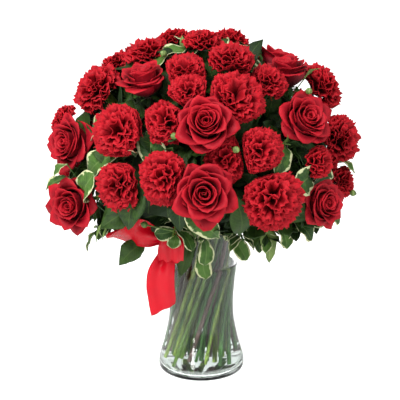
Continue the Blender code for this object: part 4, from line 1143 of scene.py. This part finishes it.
# %% Leaves that the photograph shows
SEEN_LEAVES = (             # kind, foot of the blade, its tip and its width, in mm
    (PITTO, (-30, -84, 217), (-58, -88, 213), 19), (PITTO, (-31, -86, 212), (-36, -95, 196), 18),
    (PITTO, (-21, -83, 216), (-6, -94, 211), 17), (PITTO, (-30, -82, 223), (-39, -86, 248), 13),
    (PITTO, (4, -74, 207), (4, -70, 166), 20), (PITTO, (2, -60, 190), (6, -57, 143), 21),
    (BROAD, (-10, -64, 203), (-27, -60, 146), 19), (PITTO, (38, -66, 206), (57, -72, 173), 21),
    (BROAD, (76, -86, 226), (84, -88, 175), 26), (PITTO, (64, -84, 222), (72, -88, 188), 15),
    (PITTO, (92, -84, 224), (106, -90, 194), 23), (PITTO, (112, -74, 226), (138, -74, 200), 23),
    (PITTO, (126, -62, 226), (156, -60, 219), 19), (PITTO, (148, -52, 232), (176, -40, 214), 21),
    (BROAD, (-76, -84, 250), (-124, -96, 222), 42), (BROAD, (-68, -62, 196), (-104, -66, 164), 27),
    (GRASS, (-112, -78, 232), (-130, -88, 201), 5), (GRASS, (-106, -76, 230), (-122, -92, 206), 4),
    (PITTO, (-164, -30, 268), (-198, -24, 251), 21),
    (PITTO, (-150, -66, 290), (-172, -62, 268), 20), (BROAD, (-18, -44, 418), (-54, -50, 432), 24),
    (GRASS, (-22, -22, 424), (-24, -18, 451), 8), (PITTO, (-10, -44, 418), (-3, -48, 440), 13),
    (BROAD, (52, -46, 404), (76, -26, 444), 22), (BROAD, (50, -60, 402), (66, -72, 416), 18),
    (PITTO, (164, -16, 292), (196, -12, 270), 22), (PITTO, (-78, -118, 318), (-92, -138, 330), 17),
    (GRASS, (126, -30, 394), (146, -38, 410), 9), (GRASS, (84, -112, 318), (104, -140, 338), 4),
    (GRASS, (88, -108, 322), (100, -140, 350), 4), (BROAD, (104, -92, 322), (120, -116, 330), 20),
    (BROAD, (106, -62, 230), (141, -66, 213), 27), (BROAD, (82, -78, 234), (104, -88, 217), 24),
    (PITTO, (50, -68, 213), (70, -80, 193), 17), (BROAD, (-4, -60, 214), (22, -78, 206), 20),
    (BROAD, (-18, -52, 232), (-94, -56, 218), 42))
DARK_ONES = {6, 14, 15, 20, 23, 24, 30, 31, 32, 34, 35}     # rows of the table in dark green
SHOOT = 0.006               # length that a stalk has at best
shoots = []                 # thin stalks from a leaf to a stem
found = 0
for number, (kind, foot, tip, width) in enumerate(SEEN_LEAVES):
    foot, tip, width = mm(*foot), mm(*tip), width / 1000
    outward_way = (foot - DOME_MIDDLE + UP * 0.05).normalized()
    hits = [(size, shift) for size, shift in product((1.0, 0.9, 0.78),
                                                     (0.0, 0.003, 0.007, 0.012, 0.018))
            if is_solid(foot + (tip - foot) * size + outward_way * shift)]
    size, shift = hits[0] if hits else (1.0, 0.0)
    found += bool(hits)
    away = outward_way * shift
    end = foot + (tip - foot) * size + away
    sheaf = "dark" if number in DARK_ONES else None
    put_leaf(kind, foot + away, end, outward_way, width * size * 1.04, sheaf=sheaf)
    root = min(spots, key=lambda spot: abs((spot - foot - away).length - SHOOT))
    shoots.append(([root, foot + away], [0.0009, 0.0007]))
print(found, "of", len(SEEN_LEAVES), "seen leaves lie on the solid's")

# %% Leaves along the sprigs
def hides_bow(at, left, right, front, lowest):
    """Whether a leaf there would cover the bow, which the photograph shows."""
    return left < at.x < right and at.y < front and at.z < lowest


FRONT = 0.02                # cream leaves grow before this depth
draw_collar = random.Random(12)
count = 0
for points in twigs:
    for t, side in ((2.6, 1), (3.3, -1), (3.98, 0)):
        k = min(int(t), 3)
        root = points[k].lerp(points[k + 1], t - k)
        along = (points[k + 1] - points[k]).normalized()
        level = along.cross(UP).normalized()
        way = along * 0.55 + level * side * 0.85
        if side == 0:
            way = along * 0.9 - UP * 0.55
        way = (way + UP * draw_collar.uniform(-0.35, 0.10)).normalized()
        length = draw_collar.uniform(0.030, 0.038)
        for size, tilt in product((1.0, 0.8, 0.65), (0.0, -0.4, 0.4, -0.8)):
            tip = root + (way + UP * tilt).normalized() * length * size
            if is_solid(tip):
                if hides_bow(tip, -0.100, -0.012, -0.06, 0.245 if tip.x < -0.055 else 0.214):
                    break
                cream = root.y < FRONT and draw.random() < 0.75
                put_leaf(PITTO if cream else PLAIN, root, tip, UP, 0.56 * length * size)
                count += 1
                break
print(count, "collar leaves")

# %% Small leaves along the sprigs
small = 0
for points in twigs:
    path = smooth_vectors(points, 6)
    for place, after in zip(path[5:-1:2], path[6::2]):
        along = (after - place).normalized()
        level = along.cross(UP).normalized()
        for side in (-1, 1):
            way = (along * draw.uniform(0.2, 0.9) + level * side
                   + UP * draw.uniform(-0.9, 0.2)).normalized()
            cream = place.y < FRONT and draw.random() < 0.6
            if hides_bow(place, -0.090, -0.010, -0.05, 0.226):
                continue
            put_leaf(PITTO if cream else PLAIN, place, place + way * draw.uniform(0.019, 0.027),
                     UP, draw.uniform(0.011, 0.015), rows=8, columns=5)
            small += 1
print(small, "small ones")

# %% Leaves behind the gaps of the dome
draw_fill = random.Random(11)
CANDIDATES, WANTED = 900, 46
APART = 0.026               # the least distance between two of these leaves
done = []
for k in draw_fill.sample(range(CANDIDATES), CANDIDATES):
    lift = math.degrees(math.asin(min(0.99, -0.08 + 1.06 * (k + 0.5) / CANDIDATES)))
    bearing = math.degrees(k * math.pi * (3 - math.sqrt(5))) % 360
    surface = dome_point(bearing, lift)
    room = min((surface - it["middle"]).length / it["half"] for it in heads.values())
    if room < 1.05 or any((surface - other).length < APART for other in done):
        continue
    outward_way = (surface - DOME_MIDDLE).normalized()
    start = draw_fill.random() * math.tau
    length = draw_fill.uniform(0.046, 0.056)
    width = length * draw_fill.uniform(0.52, 0.64)
    for size, reach, turn in product((1.0, 0.85, 0.70), (0.93, 0.86),
                                     (0.0, 1.1, 2.2, 3.3, 4.4, 5.4)):
        heading = Quaternion(outward_way, start + turn) @ outward_way.orthogonal().normalized()
        half = heading * length * size / 2
        middle = dome_point(bearing, lift, reach)
        tip = middle + half + outward_way * 0.004
        if is_solid(tip):
            foot = middle - half * 1.2 - outward_way * 0.014
            cream = middle.y < 0.05 and len(done) % 3 != 2
            put_leaf(PITTO if cream else PLAIN, foot, tip, outward_way, width * size * 1.05,
                     droop=0.20)
            done.append(surface)
            break
    if len(done) >= WANTED:
        break
print(len(done), "leaves behind the gaps")

# %% [markdown]
# ## The thicket inside the dome
#
# Between the heads one looks into a dark thicket of leaves. A rough dark body a little smaller
# than the solid's core closes the view, and a tree scatters small leaves over it: points spread
# on its faces, each with a leaf that is turned at random and leans out a little or a lot. None
# grows near the bow.

# %% The thicket's tree
def thicket_tree():
    tree, graph, given = group_tree(
        "leaves_over_a_body", Collection=["Forms"], Int=["Seed"], Vector=["Bow"],
        Float=["Density", "Spacing", "Leaf Length", "Lowest", "Clearance"])
    seed = given["Seed"]
    points = graph.add("GeometryNodeDistributePointsOnFaces", dict(distribute_method="POISSON"),
                       {"Mesh": given["Geometry"], "Distance Min": given["Spacing"],
                        "Density Max": given["Density"], "Seed": seed})
    rotation = points.twin("Rotation")
    for axis, low, high, extra in ((2, 0.0, math.tau, 2), (0, 0.15, 1.10, 1)):
        lean = graph.add("ShaderNodeCombineXYZ", {}, {axis: chance(graph, low, high, seed, extra)})
        rotation = graph.add("FunctionNodeRotateRotation", dict(rotation_space="LOCAL"),
                             {0: rotation, 1: lean})
    size = given["Leaf Length"] * chance(graph, 0.7, 1.15, seed, 3)
    where = graph.add("GeometryNodeInputPosition")
    height = graph.add("ShaderNodeSeparateXYZ", {}, {0: where}).twin(2)
    away = graph.add("ShaderNodeVectorMath", dict(operation="DISTANCE"),
                     {0: where, 1: given["Bow"]}).twin("Value")
    above = (graph.math("GREATER_THAN", height, given["Lowest"])
             * graph.math("GREATER_THAN", away, given["Clearance"]))
    end_with_forms(graph, given, 0.0, {
        "Points": points, "Selection": above, "Rotation": rotation, "Scale": size})
    return tree


THICKET = thicket_tree()


# %% The body inside and its leaves
def turned_shell(outline, sides):
    """A plain closed turned shape; the outline starts and ends on the axis."""
    bm = bmesh.new()
    rings = []
    for radius, height in outline:
        count = 1 if radius == 0 else sides
        rings.append([bm.verts.new((radius * math.cos(math.tau * k / sides),
                                    radius * math.sin(math.tau * k / sides), height))
                      for k in range(count)])
    for low, high in zip(rings, rings[1:]):
        for k in range(sides):
            n = (k + 1) % sides
            corners = [low[k % len(low)], low[n % len(low)], high[n % len(high)],
                       high[k % len(high)]]
            bm.faces.new(list(dict.fromkeys(corners)))
    return bm


INNER = 0.72                # the body's share of the dome
ROUGHNESS, ROUGH_ABOVE = 0.004, 0.215
outline = [(0.0, 0.1950), (0.0410, 0.1975), (0.0425, 0.2080), (0.0700, 0.2250)]
outline += [(p.x, p.z) for p in (dome_point(90, lift, INNER) for lift in range(-8, 88, 8))]
outline.append((0.0, DOME_MIDDLE.z + DOME.z * INNER))
bm = turned_shell(outline, sides=28)
draw_body = random.Random(3)
for v in bm.verts:
    if v.co.z > ROUGH_ABOVE:
        v.co += (v.co - DOME_MIDDLE).normalized() * draw_body.uniform(-ROUGHNESS, ROUGHNESS)
body = bpy.data.meshes.new("thicket_body")
bm.to_mesh(body)
bm.free()
outward(body)
leaf_forms = form_collection("leaf_form", [
    leaf_grid(PLAIN, Vector((0, 0, 0)), Vector((0, 1, 0)), UP, 0.5, 0.12, k, rows=7, columns=5)
    for k in range(4)], thick=0.02)
thicket = object_from_mesh(grown(THICKET, "thicket_leaves", dict(
    Forms=leaf_forms, Density=12000.0, Spacing=0.0085, Seed=4, Finish=DARK_LEAF,
    Lowest=0.236, Bow=(-0.055, -0.075, 0.215), Clearance=0.085,
    **{"Leaf Length": 0.046}), body))
print("thicket:", triangles(thicket), "triangles")

# %% Sepals
SEPALS, SEPAL_WIDTH = 5, 0.26
SEPAL_INNER, SEPAL_LEVEL = 0.07, -0.64      # in half widths of the rose, from its middle
sepal_sheaf = Sheaf()
for me in (me for me in heads.values() if me["kind"] == ROSE):
    half = me["half"]
    place = facing_matrix(me["middle"], me["face"], 0.4)
    for k in range(SEPALS):
        turn = math.tau * k / SEPALS
        way = Vector((math.cos(turn), math.sin(turn), 0))
        foot = half * (way * SEPAL_INNER + UP * SEPAL_LEVEL)
        tip = half * (way * draw.uniform(0.42, 0.62) + UP * SEPAL_LEVEL)
        tip -= UP * draw.uniform(0.004, 0.009)
        grid = leaf_grid(PLAIN, foot, tip, UP, SEPAL_WIDTH * half, 0.15, draw.random(), rows=7,
                         columns=5)
        grid = moved(grid.reshape(-1, 3), place).reshape(grid.shape)
        sepal_sheaf.add(grid, LEAF_THICK, draw.random())
print(len(sepal_sheaf.parts), "sepals")

# %% Buds
BUDS = ((-70, -92, 226), (-32, -146, 350), (40, -152, 335), (90, -132, 315), (130, -70, 388),
        (-46, -60, 432), (194, -20, 246))
STALK = (0.0008, 0.0008)
BUD_SHAPE = (               # place along the bud in units of its half length, radius in metres
    (-1, 0.0009), (-0.8, 0.0026), (-0.4, 0.0040), (0.1, 0.0042), (0.6, 0.0032), (0.95, 0.0016),
    (1.2, 0.0003))
BUD_HALF = 0.0042
bud_paths = []
for bud in BUDS:
    middle = mm(*bud)
    root = min(spots, key=lambda spot: (spot - middle).length)
    way = (middle - root).normalized()
    bud_paths.append(([root, root.lerp(middle, 0.5)]
                      + [middle + way * t * BUD_HALF for t, radius in BUD_SHAPE],
                      [*STALK, *(radius for t, radius in BUD_SHAPE)]))
print(len(bud_paths), "buds")

# %% The green pieces
stems = object_from_mesh(tubes("stems", stem_paths, 12, STEM_FINISH))
side_shoots = object_from_mesh(tubes("side_shoots", twig_paths + shoots, 8, STEM_FINISH))
buds = object_from_mesh(tubes("buds", bud_paths, 10, BUD_FINISH))
inside_body = object_from_mesh(body, DARK_LEAF)
body.uv_layers.new(name="cut")
for ob in (stems, side_shoots, buds, inside_body, thicket,
           sepal_sheaf.piece("sepals", DARK_LEAF),
           sheaves["dark"].piece("dark_leaves", DARK_LEAF),
           sheaves["broad"].piece("broad_leaves", BROAD_LEAF),
           sheaves["cream"].piece("variegated_leaves", CREAM_LEAF)):
    declare(ob, "green", "stems_and_leaves")
    print(ob.name, triangles(ob))
wire = frame["nodes"]["bow_wire"]
wire.data.materials.clear()
wire.data.materials.append(STEM_FINISH)

# %% [markdown]
# ## The satin bow
#
# One 37 mm satin ribbon makes a loop to the left, a loop to the front and a tail, all gathered
# into a small knot that is wired to the stems. A ribbon keeps its width: where it is gathered
# narrower than its cut, the rest goes into pleats, so the pleats are worked out from the width
# at each point of its path.

# %% Satin finish
satin, graph, shader = finish("satin", Specular_IOR_Level=0.25)
across, along = split_uv(graph)
patches = noise(graph, coordinates(graph), 45)
threads = graph.math("SINE", across * 900)
edge = graph.step(abs(across - 0.5) * 2, 0.93, 0.97)
colour = graph.blend(patches, shade(0.45, 0.0012, 0.009), shade(0.55, 0.0016, 0.012))
colour = graph.blend(edge * 0.35, colour, shade(0.30, 0.002, 0.006))
feed(graph, shader, colour, 0.17 + patches * 0.07, threads * 0.3 + patches, strength=0.2)
print("ribbon finish:", satin.name)

# %% The ribbon's paths
RIBBON = 0.037
FRONT_LOOP = (              # middle, way across, half width, in mm
    ((-27, -65, 208), (1, 0, 0.1), 6), ((-30, -75, 215), (1, 0, 0), 9.5),
    ((-34, -85, 210), (1, 0, 0), 13.5), ((-37, -90, 199), (1, 0, 0), 15.8),
    ((-38, -90, 187), (1, 0, 0), 16.2), ((-37.5, -86, 177), (1, 0, 0), 15),
    ((-37, -80, 176), (1, 0, 0), 14.5), ((-35, -74, 184), (1, 0, 0), 13),
    ((-28, -67, 203), (1, 0, 0), 7))
LEFT_FOLD = (               # middle, share of the width that the front sees, half width, gap
    ((-27.0, -64, 206.0), 0.98, 6.0, 1.5), ((-45.0, -70, 203.5), 0.98, 8.5, 6.0),
    ((-56.4, -73, 204.8), 0.98, 12.0, 9.0), ((-66.4, -73, 207.2), 0.98, 16.6, 11.0),
    ((-76.4, -70, 208.4), 0.97, 18.0, 11.0), ((-86.6, -66, 206.6), 0.77, 18.2, 9.0),
    ((-96.8, -62, 203.9), 0.51, 18.2, 6.0), ((-107.1, -58, 201.1), 0.25, 18.0, 3.0),
    ((-116.8, -55, 198.7), 0.03, 17.5, 0.8))
front, back_layer = [], []
screen_up = Vector((0, math.sin(RAISED), math.cos(RAISED)))
for middle, seen, half, gap in LEFT_FOLD:
    hidden = math.sqrt(1 - seen * seen)
    way = tuple(screen_up * seen + back * hidden)
    front.append((middle, way, half))
    behind = Vector(middle) - (back * seen - screen_up * hidden) * gap
    back_layer.append((tuple(behind), way, half * 0.92))
LEFT_LOOP = front + back_layer[::-1]
TAIL = (
    ((-27, -63, 204), (1, 0, 0), 6), ((-36, -66, 193), (1, 0, 0.1), 9),
    ((-44, -73, 181), (1, 0, 0.1), 12), ((-50, -80, 163), (1, 0, 0), 16.6),
    ((-51.5, -80, 142), (1, 0, 0), 17.8), ((-50, -75, 124), (1, 0, 0.1), 17.6),
    ((-48.5, -71, 106), (0.88, 0, 0.48), 17.2))
KNOT_BAND = tuple(((-27 + 0.5 * math.sin(t), -63 + 8.6 * math.cos(t), 207 + 8.2 * math.sin(t)),
                   (1, 0.1, 0), 7.5) for t in np.linspace(0.4, 0.4 + 2.08 * math.pi, 12))


# %% A ribbon along a path
def unit(rows):
    return rows / np.linalg.norm(rows, axis=1, keepdims=True)


def ribbon_grid(stations, pleats, phase, columns=31, steps=7):
    """Points of the pleated ribbon over its path, and the path's length."""
    middles = smooth_path([st[0] for st in stations], steps) / 1000
    ways = unit(smooth_path([st[1] for st in stations], steps))
    halves = smooth_path([(st[2],) for st in stations], steps)[:, 0] / 1000
    up = unit(np.cross(ways, unit(np.gradient(middles, axis=0))))
    u = np.linspace(-1, 1, columns)
    rows = []
    for number, (middle, way, half, face) in enumerate(zip(middles, ways, halves, up)):
        slack = math.sqrt(max(0.0, (RIBBON / 2 / half) ** 2 - 1))
        height = 0.62 * 2 * half / (math.pi * pleats) * slack
        wave = height * np.cos(math.pi * pleats * (u + 0.06 * math.sin(number * 0.1)) + phase)
        wave = wave * (1 - 0.75 * u ** 4)
        wave = wave + 0.0012 * np.sin(2.2 * u + number * 0.11) * (1 - u ** 2)
        rows.append(middle + np.outer(u * half, way) + np.outer(wave, face))
    length = np.linalg.norm(np.diff(middles, axis=0), axis=1).sum()
    return np.array(rows), length


RIBBON_THICK = 0.00045
bow_sheaf = Sheaf()
ribbon_length = 0.0
for stations, pleats, phase in ((FRONT_LOOP, 2.4, 0.0), (LEFT_LOOP, 1.3, 0.0), (TAIL, 1.6, 0.6),
                                (KNOT_BAND, 3.2, 0.6)):
    grid, length = ribbon_grid(stations, pleats, phase)
    bow_sheaf.add(grid, RIBBON_THICK, tone=0.5)
    ribbon_length += length
bow = bow_sheaf.piece("bow", satin)
declare(bow, "satin", "ribbon")
print("ribbon", round(ribbon_length * 1000), "mm long,", triangles(bow), "triangles")

# %% [markdown]
# ## The floor and the light
#
# The photograph is a cut-out on white, so floor and surround are shown white to the camera and
# through the glass. All other rays see a dimmer room, so that satin and glass keep their depth.
# Three soft lamps help: a large one high on the left that draws the shadows between the petals,
# a weak one on the right, and a low one in front that lights the bow and the stems.

# %% Floor and surround
def seen_directly(graph):
    """1 for rays from the camera and for rays through glass, 0 for all others."""
    ray = graph.add("ShaderNodeLightPath")
    return graph.math("MAXIMUM", ray, ray.twin("Is Transmission Ray"))


HALF_FLOOR, BELOW = 6, 0.0003
floor = object_from_mesh(bpy.data.meshes.new("floor"))
floor.data.from_pydata([(x * HALF_FLOOR, y * HALF_FLOOR, -BELOW) for x, y in
                        ((-1, -1), (1, -1), (1, 1), (-1, 1))], [], [(0, 1, 2, 3)])
floor_finish, graph, shader = finish("floor", Roughness=0.9, Specular_IOR_Level=0.1,
                                     Emission_Strength=0.6)
graph.link(seen_directly(graph), shader.inputs["Emission Color"])
feed(graph, shader, graph.blend(noise(graph, coordinates(graph), 3) * 0.1,
                                shade(0.74, 0.74, 0.74), shade(0.72, 0.72, 0.72)))
floor.data.materials.append(floor_finish)

scene = bpy.context.scene
scene.view_settings.view_transform = "Standard"
scene.world = bpy.data.worlds.new("surround")
scene.world.use_nodes = True
sky = Graph(scene.world.node_tree)
rise = sky.add("ShaderNodeSeparateXYZ", {}, {0: sky.add("ShaderNodeTexCoord")}, out=2)
studio = 0.40 + 0.75 * sky.step(rise, -0.1, 0.8)
studio = studio * (1 - 0.6 * sky.add("ShaderNodeLightPath", out="Is Glossy Ray"))
seen = seen_directly(sky)
background = scene.world.node_tree.nodes["Background"]
sky.link(studio * (1 - seen) + seen, background.inputs["Strength"])
background.inputs["Color"].default_value = shade(1, 1, 1)
print("floor", 2 * HALF_FLOOR, "m wide, surround of", len(scene.world.node_tree.nodes), "nodes")


# %% Lamps
def soft_light(name, place, size, power):
    lamp = stand(name, bpy.data.lights.new(name, "AREA"))
    lamp.data.shape = "DISK"
    lamp.data.size = size
    lamp.data.energy = power
    lamp.location = place
    lamp.rotation_euler = (Vector(place) - AIM).to_track_quat("Z", "Y").to_euler()


for name, place, size, power in (("key", (-0.9, -1.3, 1.9), 0.9, 58),
                                 ("fill", (1.4, -1.0, 0.9), 1.2, 9),
                                 ("low", (-0.8, -1.8, 0.25), 0.35, 8)):
    soft_light(name, place, size, power)

# %% The end
for name in ("rose_form", "carnation_form", "mini_form", "leaf_form"):
    forms = bpy.data.collections[name]
    for ob in list(forms.objects):
        bpy.data.objects.remove(ob)
    bpy.data.collections.remove(forms)
